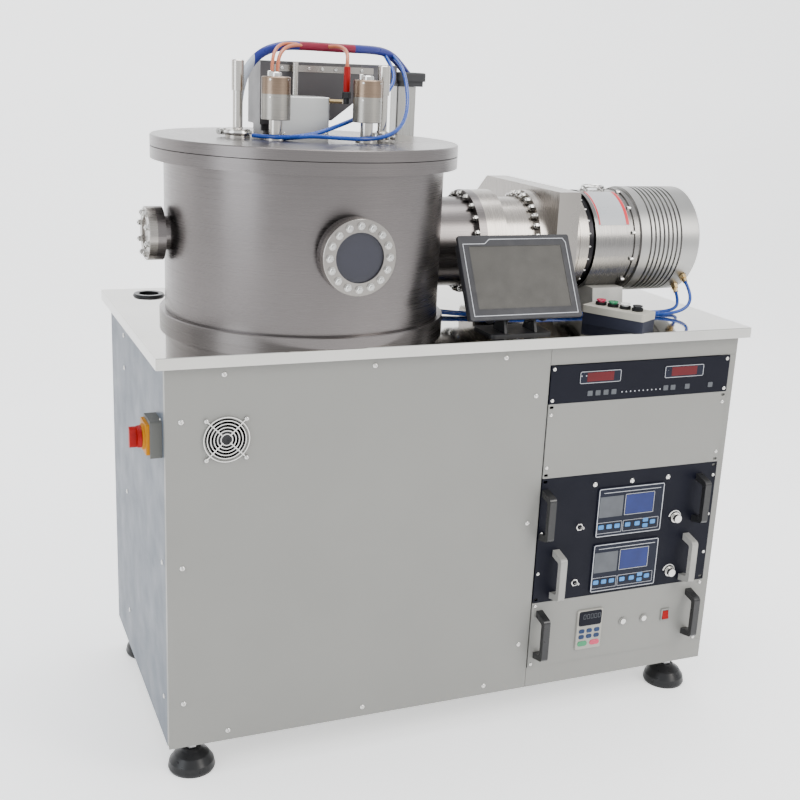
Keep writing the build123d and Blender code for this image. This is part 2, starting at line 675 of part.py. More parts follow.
# Lid with the holes for what passes through it
SOURCES = {"left": (CH_X - 91, CH_Y - 79), "right": (CH_X + 102, CH_Y - 104)}
POSTS = {"left": (CH_X - 158, CH_Y - 25), "right": (CH_X + 157, CH_Y - 53)}
CENTRE_POST = (CH_X - 9, CH_Y + 54)
TUBE_R = 13.5
POST_R = 10.5
SHAFT_R = 5
with BuildPart() as chamber_lid:
    with BuildSketch(Plane.XY.offset(LID_Z)):
        with Locations((CH_X, CH_Y)):
            Circle(FLANGE_R)
        with Locations(*SOURCES.values()):
            Circle(TUBE_R, mode=Mode.SUBTRACT)
        with Locations(*POSTS.values()):
            Circle(SHAFT_R + 2, mode=Mode.SUBTRACT)
    extrude(amount=LID_TOP - LID_Z)
    chamfer(chamber_lid.faces().sort_by(Axis.Z)[-1].outer_wire().edges(), 2)
save(chamber_lid, "chamber_lid")


# Magnetron sources: a head outside, a tube through the lid and a target cup inside
def source_tube(place):
    turned((*place, 0), [
        (9, LID_Z - 70), (TUBE_R, LID_Z - 70), (TUBE_R, LID_TOP), (TUBE_R + 10, LID_TOP),
        (TUBE_R + 10, LID_TOP + 5), (TUBE_R, LID_TOP + 5), (TUBE_R, 1391), (9, 1391)])


def target_cup(place):
    turned((*place, 0), [
        (0, LID_Z - 112), (34, LID_Z - 112), (36, LID_Z - 110), (36, LID_Z - 78), (30, LID_Z - 70), (0, LID_Z - 70)])


def source_head(place, low, high):
    with BuildSketch(Plane.XY.offset(low)) as barrel:
        with Locations(place):
            Circle(30.5)
    extrude(barrel.sketch, amount=high - low)


with BuildPart() as source_tubes:
    for place in SOURCES.values():
        source_tube(place)

with BuildPart() as target_cups:
    for place in SOURCES.values():
        target_cup(place)

with BuildPart() as targets:
    for px, py in SOURCES.values():
        with Locations((px, py, LID_Z - 112)):
            Cylinder(25, 3, align=(Align.CENTER, Align.CENTER, Align.MAX))

with BuildPart() as source_heads:
    for place in SOURCES.values():
        source_head(place, 1391, 1443)
    chamfer(source_heads.edges().filter_by(GeomType.CIRCLE).group_by(Axis.Z)[0], 1)

with BuildPart() as source_caps:
    for place in SOURCES.values():
        source_head(place, 1443, 1478)
    chamfer(source_caps.edges().filter_by(GeomType.CIRCLE).group_by(Axis.Z)[-1], 2)
save_group([source_heads, source_caps], "source_heads")


# Shutter feedthroughs: a fixed post on a clamped flange, a turning grip and the shutter below
POST_TOP, GRIP_TOP = 1446, 1508


def shutter_post(place):
    turned((*place, 0), [
        (SHAFT_R + 0.05, LID_TOP), (26, LID_TOP), (26, LID_TOP + 5), (20, LID_TOP + 9), (20, LID_TOP + 11),
        (26, LID_TOP + 15), (26, LID_TOP + 17), (POST_R + 2, LID_TOP + 19), (POST_R, LID_TOP + 22),
        (POST_R, POST_TOP - 0.5), (SHAFT_R + 0.05, POST_TOP - 0.5)])


def shutter_piece(place, source):
    # grip, shaft, arm and disc turn as one
    turned((*place, 0), [
        (0, LID_Z - 132), (SHAFT_R, LID_Z - 132), (SHAFT_R, POST_TOP), (POST_R + 2.5, POST_TOP),
        (POST_R + 2.5, GRIP_TOP - 2), (POST_R + 0.5, GRIP_TOP), (0, GRIP_TOP)])
    dx, dy = source[0] - place[0], source[1] - place[1]
    reach = math.hypot(dx, dy)
    arm = Plane(origin=(place[0], place[1], LID_Z - 132), x_dir=(dx, dy, 0), z_dir=(0, 0, 1))
    with BuildSketch(arm) as blade:
        with Locations((reach / 2, 0)):
            Rectangle(reach, 12)
        Circle(9)
        with Locations((reach, 0)):
            Circle(40)
    extrude(blade.sketch, amount=3)


with BuildPart() as shutter_posts:
    for place in POSTS.values():
        shutter_post(place)

with BuildPart() as shutter_left:
    shutter_piece(POSTS["left"], SOURCES["left"])
save(shutter_left, "shutter_left")

with BuildPart() as shutter_right:
    shutter_piece(POSTS["right"], SOURCES["right"])
save(shutter_right, "shutter_right")

with BuildPart() as centre_post:
    turned((*CENTRE_POST, 0), [
        (0, LID_TOP), (17, LID_TOP), (17, LID_TOP + 8), (7, LID_TOP + 12), (7, GRIP_TOP), (0, GRIP_TOP)])
save_group([source_tubes, target_cups, targets, shutter_posts, centre_post], "lid_feedthroughs")

# Covered drive unit in the middle of the lid
HUB_W, HUB_D, HUB_H = 108, 82, 88
with BuildPart() as hub_cover:
    with BuildSketch(Plane.XY.offset(LID_TOP)):
        with Locations((CH_X - 17, CH_Y - 8)):
            RectangleRounded(HUB_W, HUB_D, 4)
    extrude(amount=HUB_H)
    fillet(hub_cover.faces().sort_by(Axis.Z)[-1].edges(), 2.5)
save(hub_cover, "hub_cover")

# Lid lift: a fixed column behind the chamber, a sliding column with a cap, and the arm to the lid
COL_X, COL_Y = CH_X + 315, CH_Y + 220
COL_W, COL_D, COL_TOP = 50, 46, 1461
COL_LOW = WORK_Z
with BuildPart() as lift_column:
    with BuildSketch(Plane.XY.offset(COL_LOW)):
        with Locations((COL_X, COL_Y)):
            RectangleRounded(COL_W, COL_D, 5)
            RectangleRounded(COL_W - 8, COL_D - 8, 3, mode=Mode.SUBTRACT)
    extrude(amount=COL_TOP - COL_LOW)
    with BuildSketch(Plane.XY.offset(COL_LOW)):
        with Locations((COL_X, COL_Y)):
            RectangleRounded(COL_W + 50, COL_D + 50, 8)
            RectangleRounded(COL_W - 8, COL_D - 8, 3, mode=Mode.SUBTRACT)
    extrude(amount=10)
save(lift_column, "lift_column")

with BuildPart() as lift_slider:
    with BuildSketch(Plane.XY.offset(COL_LOW + 60)):
        with Locations((COL_X, COL_Y)):
            RectangleRounded(COL_W - 8.2, COL_D - 8.2, 2.9)
    extrude(amount=COL_TOP + 0.6 - COL_LOW - 60)

CAP_TOP = 1494
with BuildPart() as lift_cap:
    with BuildSketch(Plane.XY.offset(COL_TOP + 0.6)):
        with Locations((COL_X + 8, COL_Y)):
            RectangleRounded(66, 60, 8)
    extrude(amount=12)
    with BuildSketch(Plane.XY.offset(COL_TOP + 12.6)):
        with Locations((COL_X + 8, COL_Y)):
            RectangleRounded(76, 68, 10)
    extrude(amount=CAP_TOP - COL_TOP - 12.6)
    fillet(lift_cap.faces().sort_by(Axis.Z)[-1].edges(), 4)

ARM_L, ARM_TOP = CH_X - 83, 1508
ARM_F, ARM_B = CH_Y + 72, CH_Y + 172
cap_left = COL_X + 8 - 38
with BuildPart() as lift_arm:
    with BuildSketch(upright_plane(0, ARM_F + 220, 0)):
        with BuildLine():
            Polyline((ARM_L, 1372), (CH_X + 83, 1384), (CH_X + 190, 1466), (cap_left - 0.5, 1466),
                     (cap_left - 0.5, ARM_TOP), (ARM_L, ARM_TOP), close=True)
        make_face()
    extrude(amount=220)
    # plan of the arm: straight over the lid, then back to the column
    with BuildSketch(Plane.XY.offset(1300)):
        with BuildLine():
            Polyline((ARM_L, ARM_F), (CH_X + 150, ARM_F), (cap_left - 0.5, COL_Y - 30), (cap_left - 0.5, COL_Y + 30),
                     (CH_X + 130, ARM_B), (ARM_L, ARM_B), close=True)
        make_face()
    extrude(amount=300, mode=Mode.INTERSECT)

with BuildPart() as arm_pedestal:
    with BuildSketch(Plane.XY.offset(LID_TOP)):
        with Locations((ARM_L + 75, (ARM_F + ARM_B) / 2)):
            RectangleRounded(130, 90, 6)
    extrude(amount=8)
    with BuildSketch(Plane.XY.offset(LID_TOP + 8)):
        with Locations((ARM_L + 55, (ARM_F + ARM_B) / 2)):
            RectangleRounded(96, 70, 4)
    extrude(until=Until.NEXT, target=lift_arm.part.solid())
save_group([lift_arm, arm_pedestal], "lift_arm")
save_group([lift_slider, lift_cap], "lift_slider")

# Pump line: spool, valve, turbomolecular pump
line_start = LINE_A + 19
SPOOL_END = 561
VALVE_L, VALVE_R = 565, 621
with BuildPart() as duct_spool:
    line_turned([
        (line_start, PIPE_BORE), (line_start, LINE_FLANGE_R), (line_start + 50, LINE_FLANGE_R),
        (line_start + 50, PIPE_R), (SPOOL_END - 25, PIPE_R), (SPOOL_END - 25, LINE_FLANGE_R),
        (VALVE_L, LINE_FLANGE_R), (VALVE_L, PIPE_BORE)])
save(duct_spool, "duct_spool")

# The valve swings a disc backwards about a shaft low behind the bore
PIVOT_Y, PIVOT_Z = CH_Y + 70, PUMP_Z - 135
valve_plane = Plane(origin=(CH_X + VALVE_L, CH_Y, PUMP_Z), x_dir=(0, 1, 0), z_dir=(1, 0, 0))


def valve_outline(inset):
    with BuildLine() as outline:
        Polyline((-138 + inset, -80), (-138 + inset, 129 - inset), (240, 129 - inset), (315 - inset, 70),
                 (315 - inset, -110), (260, -163 + inset), (-20, -163 + inset), close=True)
    make_face(outline.edges())


with BuildPart() as valve_housing:
    with BuildSketch(valve_plane):
        valve_outline(0)
        Circle(PIPE_BORE, mode=Mode.SUBTRACT)
    extrude(amount=VALVE_R - VALVE_L)
    with BuildSketch(valve_plane.offset(20)):
        valve_outline(7)
    extrude(amount=16, mode=Mode.SUBTRACT)
    with BuildSketch(valve_plane.offset(10)):
        with Locations((PIVOT_Y - CH_Y, PIVOT_Z - PUMP_Z)):
            Circle(6.05)
    extrude(amount=36, mode=Mode.SUBTRACT)

VALVE_DISC_R = 102
with BuildPart() as valve_disc:
    with BuildSketch(valve_plane.offset(22.5)):
        Circle(VALVE_DISC_R)
        with BuildLine():
            Polyline((-20, -60), (PIVOT_Y - CH_Y - 12, PIVOT_Z - PUMP_Z), (PIVOT_Y - CH_Y + 12, PIVOT_Z - PUMP_Z),
                     (75, -40), close=True)
        make_face()
        with Locations((PIVOT_Y - CH_Y, PIVOT_Z - PUMP_Z)):
            Circle(12)
    extrude(amount=11)
    with BuildSketch(valve_plane.offset(12)):
        with Locations((PIVOT_Y - CH_Y, PIVOT_Z - PUMP_Z)):
            Circle(6)
    extrude(amount=32)
save(valve_disc, "valve_disc")

with BuildPart() as valve_motor:
    with BuildSketch(valve_plane.offset(-70)):
        with Locations((PIVOT_Y - CH_Y + 100, PIVOT_Z - PUMP_Z + 50)):
            RectangleRounded(90, 90, 8)
    extrude(amount=70)
    fillet(valve_motor.faces().sort_by(Axis.X)[0].edges(), 4)
save_group([valve_housing, valve_motor], "valve_housing")

ADAPTER_END = 665
RING_END = 684
CASE_END = 806
RIB_START, RIB_END = 830, 928
CAP_END = 977
CASE_BORE = 108
with BuildPart() as pump_adapter:
    line_turned([
        (VALVE_R, PIPE_BORE), (VALVE_R, LINE_FLANGE_R), (ADAPTER_END - 25, LINE_FLANGE_R),
        (ADAPTER_END - 25, LINE_FLANGE_R - 1.5), (ADAPTER_END - 24, LINE_FLANGE_R - 1.5),
        (ADAPTER_END - 24, LINE_FLANGE_R), (ADAPTER_END, LINE_FLANGE_R), (ADAPTER_END, PIPE_BORE)])
save(pump_adapter, "pump_adapter")

with BuildPart() as pump_casing:
    line_turned([
        (ADAPTER_END, PIPE_BORE), (ADAPTER_END, 114), (RING_END, 114),
        (RING_END, CASE_R), (CASE_END - 16, CASE_R), (CASE_END - 16, 123),
        (CASE_END, 123), (CASE_END, CASE_BORE), (RING_END, CASE_BORE), (RING_END, PIPE_BORE)])
save(pump_casing, "pump_casing")

RIBS = 8
ROTOR_SHAFT_R = 24
rib_pitch = (RIB_END - RIB_START) / RIBS
rib_profile = [(CASE_END, CASE_BORE), (CASE_END, PUMP_R)]
for rib in range(RIBS):
    rib_x = RIB_START + rib * rib_pitch
    rib_profile += [(rib_x, PUMP_R), (rib_x, PUMP_R - 5), (rib_x + rib_pitch * 0.42, PUMP_R - 5),
                    (rib_x + rib_pitch * 0.42, PUMP_R)]
rib_profile += [(RIB_END, PUMP_R), (RIB_END, ROTOR_SHAFT_R + 0.05), (RIB_END - 16, ROTOR_SHAFT_R + 0.05),
                (RIB_END - 16, CASE_BORE)]
with BuildPart() as pump_jacket:
    line_turned(rib_profile)

with BuildPart() as pump_end_cap:
    line_turned([(RIB_END, 0), (RIB_END, PUMP_R), (CAP_END - 8, PUMP_R), (CAP_END, PUMP_R - 8), (CAP_END, 0)])


def fitting_plane(angle):
    # a flat seat on the end cap, low on its front side
    out = (0, -math.cos(math.radians(angle)), math.sin(math.radians(angle)))
    seat = PUMP_R - 3
    return Plane(origin=(CH_X + 950, CH_Y + seat * out[1], PUMP_Z + seat * out[2]), x_dir=(1, 0, 0), z_dir=out)


FITTING_ANGLES = (-38, -56)
with pump_end_cap:
    for angle in FITTING_ANGLES:
        with BuildSketch(fitting_plane(angle)):
            Circle(10)
        extrude(amount=10, mode=Mode.SUBTRACT)
save_group([pump_jacket, pump_end_cap], "pump_jacket")

ROTOR_START, ROTOR_END = 700, 905
STAGES, ROTOR_BLADES = 4, 18
with BuildPart() as pump_rotor:
    line_turned([
        (ROTOR_START, 0), (ROTOR_START, 30), (ROTOR_START + 12, 52), (790, 58), (790, 96), (ROTOR_END, 96),
        (ROTOR_END, ROTOR_SHAFT_R), (ROTOR_END + 20, ROTOR_SHAFT_R), (ROTOR_END + 20, 0)])
    for stage in range(STAGES):
        stage_x = CH_X + ROTOR_START + 18 + stage * 19
        for step in range(ROTOR_BLADES):
            turn = math.radians((step + 0.5 * (stage % 2)) * 360 / ROTOR_BLADES)
            out = (0, math.cos(turn), math.sin(turn))
            lean = math.radians(35 - 5 * stage)
            side = (math.sin(lean), -math.sin(turn) * math.cos(lean), math.cos(turn) * math.cos(lean))
            blade = Plane(origin=(stage_x, CH_Y + 50 * out[1], PUMP_Z + 50 * out[2]), x_dir=side, z_dir=out)
            with BuildSketch(blade):
                Rectangle(13, 1.8)
            extrude(amount=53)
save(pump_rotor, "pump_rotor")

# Saddle under the pump, resting on the worktop
with BuildPart() as pump_saddle:
    saddle_plane = Plane(origin=(CH_X + 700, CH_Y, PUMP_Z), x_dir=(0, 1, 0), z_dir=(1, 0, 0))
    with BuildSketch(saddle_plane):
        with BuildLine():
            bottom = WORK_Z - PUMP_Z
            Polyline((-105, bottom), (105, bottom), (96, bottom + 62), (-96, bottom + 62), close=True)
        make_face()
        Circle(CASE_R + 0.3, mode=Mode.SUBTRACT)
    extrude(amount=84)
    with BuildSketch(Plane(origin=(CH_X + 790 - 0.3, CH_Y, PUMP_Z), x_dir=(0, 1, 0), z_dir=(1, 0, 0))):
        Circle(124)
    extrude(amount=-4, mode=Mode.SUBTRACT)
save(pump_saddle, "pump_saddle")

# Water fittings low on the pump's end
with BuildPart() as water_fittings:
    for angle in FITTING_ANGLES:
        with BuildSketch(fitting_plane(angle)):
            RegularPolygon(9, 6)
        extrude(amount=15)
        with BuildSketch(fitting_plane(angle).offset(15)):
            Circle(6)
        extrude(amount=10)
save(water_fittings, "water_fittings")

# Operator panel on a tilting bracket
HMI_W, HMI_H, HMI_T = 274, 192, 34
HMI_TILT = 29.5
HMI_X, HMI_Y, HMI_Z = X0 + 107, Y0 - 290, 1080
tilt = math.radians(HMI_TILT)
hmi_face = Plane(origin=(HMI_X, HMI_Y, HMI_Z), x_dir=(1, 0, 0), z_dir=(0, -math.cos(tilt), math.sin(tilt)))
with BuildPart() as hmi_case:
    with BuildSketch(hmi_face.offset(-8)):
        RectangleRounded(HMI_W, HMI_H, 5)
    extrude(amount=8)
    fillet(hmi_case.edges().filter_by(GeomType.LINE).group_by(SortBy.LENGTH)[-1], 1.5)
    with BuildSketch(hmi_face.offset(-HMI_T)):
        RectangleRounded(HMI_W - 16, HMI_H - 16, 6)
    extrude(amount=HMI_T - 8)
    with BuildSketch(hmi_face.offset(-2)):
        RectangleRounded(226, 142, 2)
    extrude(amount=2, mode=Mode.SUBTRACT)

with BuildPart() as hmi_screen:
    with BuildSketch(hmi_face.offset(-2)):
        RectangleRounded(226, 142, 2)
    extrude(amount=1.4)
save(hmi_screen, "hmi_screen")

# bracket: two ears on the panel's back, a base with two cheeks and a pin with ball knobs
HINGE_DOWN, HINGE_BACK = 76, 50
BALL_KNOB_R, PIN_END = 13, 56
hinge = hmi_face.from_local_coords((0, -HINGE_DOWN, -HINGE_BACK))
EAR_X = 30
with BuildPart() as hmi_ears:
    for side in (-1, 1):
        with BuildSketch(Plane(origin=(HMI_X + side * EAR_X - 3, 0, 0), x_dir=(0, 1, 0), z_dir=(1, 0, 0))):
            with BuildLine():
                ear = [hmi_face.from_local_coords((0, v, -w)) for v, w in
                       ((-30, HMI_T), (-90, HMI_T), (-88, HINGE_BACK + 10), (-66, HINGE_BACK + 12))]
                Polyline(*[(p.Y, p.Z) for p in ear], close=True)
            make_face()
            with Locations((hinge.Y, hinge.Z)):
                Circle(6.05, mode=Mode.SUBTRACT)
        extrude(amount=6)
save_group([hmi_case, hmi_ears], "hmi_case")

with BuildPart() as hmi_stand:
    with BuildSketch(Plane.XY.offset(WORK_Z)):
        with Locations((HMI_X, hinge.Y + 15)):
            RectangleRounded(150, 96, 10)
    extrude(amount=5)
    for side in (-1, 1):
        with BuildSketch(Plane(origin=(HMI_X + side * (EAR_X + 7) - 3, 0, 0), x_dir=(0, 1, 0), z_dir=(1, 0, 0))):
            with BuildLine():
                Polyline((hinge.Y - 26, WORK_Z + 5), (hinge.Y + 34, WORK_Z + 5), (hinge.Y + 12, hinge.Z + 10),
                         (hinge.Y - 12, hinge.Z + 10), close=True)
            make_face()
        extrude(amount=6)
    with BuildSketch(Plane(origin=(HMI_X - PIN_END, hinge.Y, hinge.Z), x_dir=(0, 1, 0), z_dir=(1, 0, 0))):
        Circle(6)
    extrude(amount=2 * PIN_END)

with BuildPart() as hmi_knobs:
    for side in (-1, 1):
        # a ball with a flat side against the pin's end
        with Locations((HMI_X + side * (PIN_END + BALL_KNOB_R - 3), hinge.Y, hinge.Z)):
            Sphere(BALL_KNOB_R, rotation=(0, 90, 0))
    for side in (-1, 1):
        with Locations((HMI_X + side * (PIN_END - 10), hinge.Y, hinge.Z)):
            Box(20, 2 * BALL_KNOB_R, 2 * BALL_KNOB_R, mode=Mode.SUBTRACT)
save_group([hmi_stand, hmi_knobs], "hmi_stand")

# Push-button station, set at an angle near the front right corner
STATION_X, STATION_Y, STATION_TURN = X0 + 376, Y0 - 275, -60
STATION_L, STATION_W = 156, 64
BASE_T, COVER_T = 27, 17
station = Plane(origin=(STATION_X, STATION_Y, WORK_Z),
                x_dir=(math.cos(math.radians(STATION_TURN)), math.sin(math.radians(STATION_TURN)), 0),
                z_dir=(0, 0, 1))
with BuildPart() as station_base:
    with BuildSketch(station):
        RectangleRounded(STATION_L - 2, STATION_W - 2, 4)
    extrude(amount=BASE_T)

PITCH, HOLE_R, STROKE = 31, 8.2, 3
button_offsets = [(step - 1.5) * PITCH for step in range(4)]
with BuildPart() as station_cover:
    with BuildSketch(station.offset(BASE_T)):
        RectangleRounded(STATION_L, STATION_W, 5)
        with Locations(*[(along, 0) for along in button_offsets]):
            Circle(HOLE_R, mode=Mode.SUBTRACT)
    extrude(amount=COVER_T)
    fillet(station_cover.faces().sort_by(Axis.Z)[-1].outer_wire().edges(), 1.5)
    with BuildSketch(station.offset(BASE_T + COVER_T)):
        with Locations(*[(along, 0) for along in button_offsets]):
            Circle(13)
            Circle(HOLE_R, mode=Mode.SUBTRACT)
    extrude(amount=7)
save_group([station_base, station_cover], "button_station")

for along, name in zip(button_offsets, ("red_button", "green_button", "white_button", "black_button")):
    with BuildPart() as push_button:
        with BuildSketch(station.offset(BASE_T + 8)):
            with Locations((along, 0)):
                Circle(HOLE_R - 0.1)
        extrude(amount=COVER_T - 8 + 7 + STROKE + 0.4)
        with BuildSketch(station.offset(BASE_T + COVER_T + 7 + STROKE + 0.4)):
            with Locations((along, 0)):
                Circle(11.5)
        extrude(amount=2.6)
        chamfer(push_button.edges().filter_by(GeomType.CIRCLE).group_by(Axis.Z)[-1], 0.6)
    save(push_button, name)
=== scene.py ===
import math

import bmesh
import bpy
from mathutils import Matrix, Vector


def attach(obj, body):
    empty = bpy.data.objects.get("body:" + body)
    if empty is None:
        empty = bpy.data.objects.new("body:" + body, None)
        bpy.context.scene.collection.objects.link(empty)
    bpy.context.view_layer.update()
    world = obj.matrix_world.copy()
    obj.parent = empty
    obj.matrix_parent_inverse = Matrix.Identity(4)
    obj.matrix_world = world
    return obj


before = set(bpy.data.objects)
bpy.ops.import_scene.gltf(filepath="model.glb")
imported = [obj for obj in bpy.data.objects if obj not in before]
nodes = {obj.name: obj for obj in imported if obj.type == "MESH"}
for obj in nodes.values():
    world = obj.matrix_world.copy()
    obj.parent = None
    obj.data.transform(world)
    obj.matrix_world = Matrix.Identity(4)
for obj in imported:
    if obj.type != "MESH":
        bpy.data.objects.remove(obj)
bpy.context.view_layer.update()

# Places that the model is laid out from, in metres
X0, Y0 = 0.020, 0.025                   # middle of the cabinet, seen from above
FRONT_Y, LEFT_X, RIGHT_X = Y0 - 0.330, X0 - 0.680, X0 + 0.680
WORK_Z = 0.953                          # top of the worktop
RACK_X = RIGHT_X - 0.019 - 0.2413       # middle of the 19 inch panels
PANEL_Y = FRONT_Y - 0.003               # front of the 19 inch panels
CH_X, CH_Y = X0 - 0.309, Y0 - 0.035     # axis of the chamber
LID_TOP = 1.350
PUMP_Z = 1.119                          # axis of the pump line
PORT_Z = 1.147                          # axes of the two ports
SOURCES = [(CH_X - 0.091, CH_Y - 0.079), (CH_X + 0.102, CH_Y - 0.104)]
POSTS = [(CH_X - 0.158, CH_Y - 0.025), (CH_X + 0.157, CH_Y - 0.053)]
DISPLAY_X, DISPLAY_Z = RACK_X + 0.002, (0.518, 0.376)
X, Z = (1, 0, 0), (0, 0, 1)
FRONT, LEFT = (0, -1, 0), (-1, 0, 0)


# Camera, solved from the cabinet's corners in the photograph
camera_data = bpy.data.cameras.new("camera")
camera = bpy.data.objects.new("camera", camera_data)
bpy.context.scene.collection.objects.link(camera)
bpy.context.scene.camera = camera
YAW, PITCH, ROLL = math.radians(-22.79), math.radians(16.15), math.radians(2.59)
back = Vector((math.sin(YAW) * math.cos(PITCH), -math.cos(YAW) * math.cos(PITCH), math.sin(PITCH)))
right = Vector((math.cos(YAW), math.sin(YAW), 0))
up = back.cross(right)
rolled_right = right * math.cos(ROLL) + up * math.sin(ROLL)
rolled_up = up * math.cos(ROLL) - right * math.sin(ROLL)
view = Matrix((rolled_right, rolled_up, back)).transposed().to_4x4()
view.translation = Vector((-1.1034 + X0, -2.5228 + Y0, 1.5190))
camera.matrix_world = view
camera_data.lens = 52.6
camera_data.sensor_width = 36
camera_data.clip_end = 60


# Materials. Scales of the noises, in patches per metre
PAINT_MARKS, PAINT_RUB, ORANGE_PEEL = 3.0, 14.0, 900
METAL_STAINS = 5.0
PLASTIC_MARKS, PLASTIC_RUB, PLASTIC_GRAIN = 30.0, 60.0, 1400
GRIME = 12.0


def new_material(name):
    material = bpy.data.materials.new(name)
    material.use_nodes = True
    tree = material.node_tree
    return material, tree, tree.nodes["Principled BSDF"]


def noise(tree, scale, stretch=(1, 1, 1), detail=4.0):
    place = tree.nodes.new("ShaderNodeTexCoord")
    mapping = tree.nodes.new("ShaderNodeMapping")
    mapping.inputs["Scale"].default_value = stretch
    tree.links.new(place.outputs["Object"], mapping.inputs["Vector"])
    texture = tree.nodes.new("ShaderNodeTexNoise")
    texture.inputs["Scale"].default_value = scale
    texture.inputs["Detail"].default_value = detail
    tree.links.new(mapping.outputs["Vector"], texture.inputs["Vector"])
    return texture.outputs["Fac"]


def spread(tree, value, low, high):
    # a noise's usual values, 0.3 to 0.7, spread from low to high
    ranged = tree.nodes.new("ShaderNodeMapRange")
    ranged.inputs["From Min"].default_value = 0.3
    ranged.inputs["From Max"].default_value = 0.7
    ranged.inputs["To Min"].default_value = low
    ranged.inputs["To Max"].default_value = high
    tree.links.new(value, ranged.inputs["Value"])
    return ranged.outputs["Result"]


def shades(tree, value, dark, light):
    ramp = tree.nodes.new("ShaderNodeValToRGB")
    ramp.color_ramp.elements[0].position = 0.32
    ramp.color_ramp.elements[0].color = (*dark, 1)
    ramp.color_ramp.elements[1].position = 0.68
    ramp.color_ramp.elements[1].color = (*light, 1)
    tree.links.new(value, ramp.inputs["Fac"])
    return ramp.outputs["Color"]


def bumped(tree, shader, value, strength, distance=0.0005):
    bump = tree.nodes.new("ShaderNodeBump")
    bump.inputs["Strength"].default_value = strength
    bump.inputs["Distance"].default_value = distance
    tree.links.new(value, bump.inputs["Height"])
    tree.links.new(bump.outputs["Normal"], shader.inputs["Normal"])


def tinted(color, by):
    return tuple(min(1, part * by) for part in color)


def painted(name, color, rough=0.42, mottle=0.05, sheen=0.4):
    # powder coat: fine orange peel and faint handling marks
    material, tree, shader = new_material(name)
    shader.inputs["Specular IOR Level"].default_value = sheen
    marks = shades(tree, noise(tree, PAINT_MARKS), tinted(color, 1 - mottle), tinted(color, 1 + mottle))
    tree.links.new(marks, shader.inputs["Base Color"])
    rub = spread(tree, noise(tree, PAINT_RUB), rough - 0.05, rough + 0.08)
    tree.links.new(rub, shader.inputs["Roughness"])
    bumped(tree, shader, noise(tree, ORANGE_PEEL, detail=2.0), 0.12)
    return material


def brushed(name, color, stretch, rough=(0.2, 0.34), strength=0.02, stain=0.9):
    # metal with drawn lines: the noise is stretched along them
    material, tree, shader = new_material(name)
    shader.inputs["Metallic"].default_value = 1.0
    stains = shades(tree, noise(tree, METAL_STAINS), tinted(color, stain), color)
    tree.links.new(stains, shader.inputs["Base Color"])
    lines = noise(tree, 1.0, stretch, detail=6.0)
    tree.links.new(spread(tree, lines, *rough), shader.inputs["Roughness"])
    bumped(tree, shader, lines, strength, 0.0003)
    return material


def moulded(name, color, rough=0.4, grain=PLASTIC_GRAIN, coat=0.0, sheen=0.25):
    # moulded plastic or rubber with a fine eroded grain
    material, tree, shader = new_material(name)
    shader.inputs["Specular IOR Level"].default_value = sheen
    shader.inputs["Coat Weight"].default_value = coat
    marks = shades(tree, noise(tree, PLASTIC_MARKS), tinted(color, 0.85), tinted(color, 1.1))
    tree.links.new(marks, shader.inputs["Base Color"])
    rub = spread(tree, noise(tree, PLASTIC_RUB), rough - 0.04, rough + 0.08)
    tree.links.new(rub, shader.inputs["Roughness"])
    bumped(tree, shader, noise(tree, grain, detail=1.0), 0.1, 0.0002)
    return material


def mixed(tree, blend="MIX"):
    mix = tree.nodes.new("ShaderNodeMix")
    mix.data_type = "RGBA"
    mix.blend_type = blend
    return mix


def banded(material, axis, places, colors, metallic=None):
    # colours by place along one axis of the node: colors[0] before the first place. They take the
    # place of the material's own colour
    tree = material.node_tree
    shader = tree.nodes["Principled BSDF"]
    place = tree.nodes.new("ShaderNodeTexCoord")
    split = tree.nodes.new("ShaderNodeSeparateXYZ")
    tree.links.new(place.outputs["Object"], split.inputs["Vector"])
    targets = [("Base Color", colors)]
    if metallic:
        targets.append(("Metallic", [(m, m, m) for m in metallic]))
    for socket, values in targets:
        result = None
        for edge, value in zip(places, values[1:]):
            above = tree.nodes.new("ShaderNodeMath")
            above.operation = "GREATER_THAN"
            above.inputs[1].default_value = edge
            tree.links.new(split.outputs[axis], above.inputs[0])
            mix = mixed(tree)
            tree.links.new(above.outputs[0], mix.inputs["Factor"])
            if result:
                tree.links.new(result, mix.inputs["A"])
            else:
                mix.inputs["A"].default_value = (*values[0], 1)
            mix.inputs["B"].default_value = (*value, 1)
            result = mix.outputs["Result"]
        if socket == "Base Color":
            grime = mixed(tree, "MULTIPLY")
            grime.inputs["Factor"].default_value = 1.0
            tree.links.new(result, grime.inputs["A"])
            spots = shades(tree, noise(tree, GRIME), (0.86, 0.86, 0.86), (1, 1, 1))
            tree.links.new(spots, grime.inputs["B"])
            result = grime.outputs["Result"]
        for link in list(shader.inputs[socket].links):
            tree.links.remove(link)
        tree.links.new(result, shader.inputs[socket])
    return material


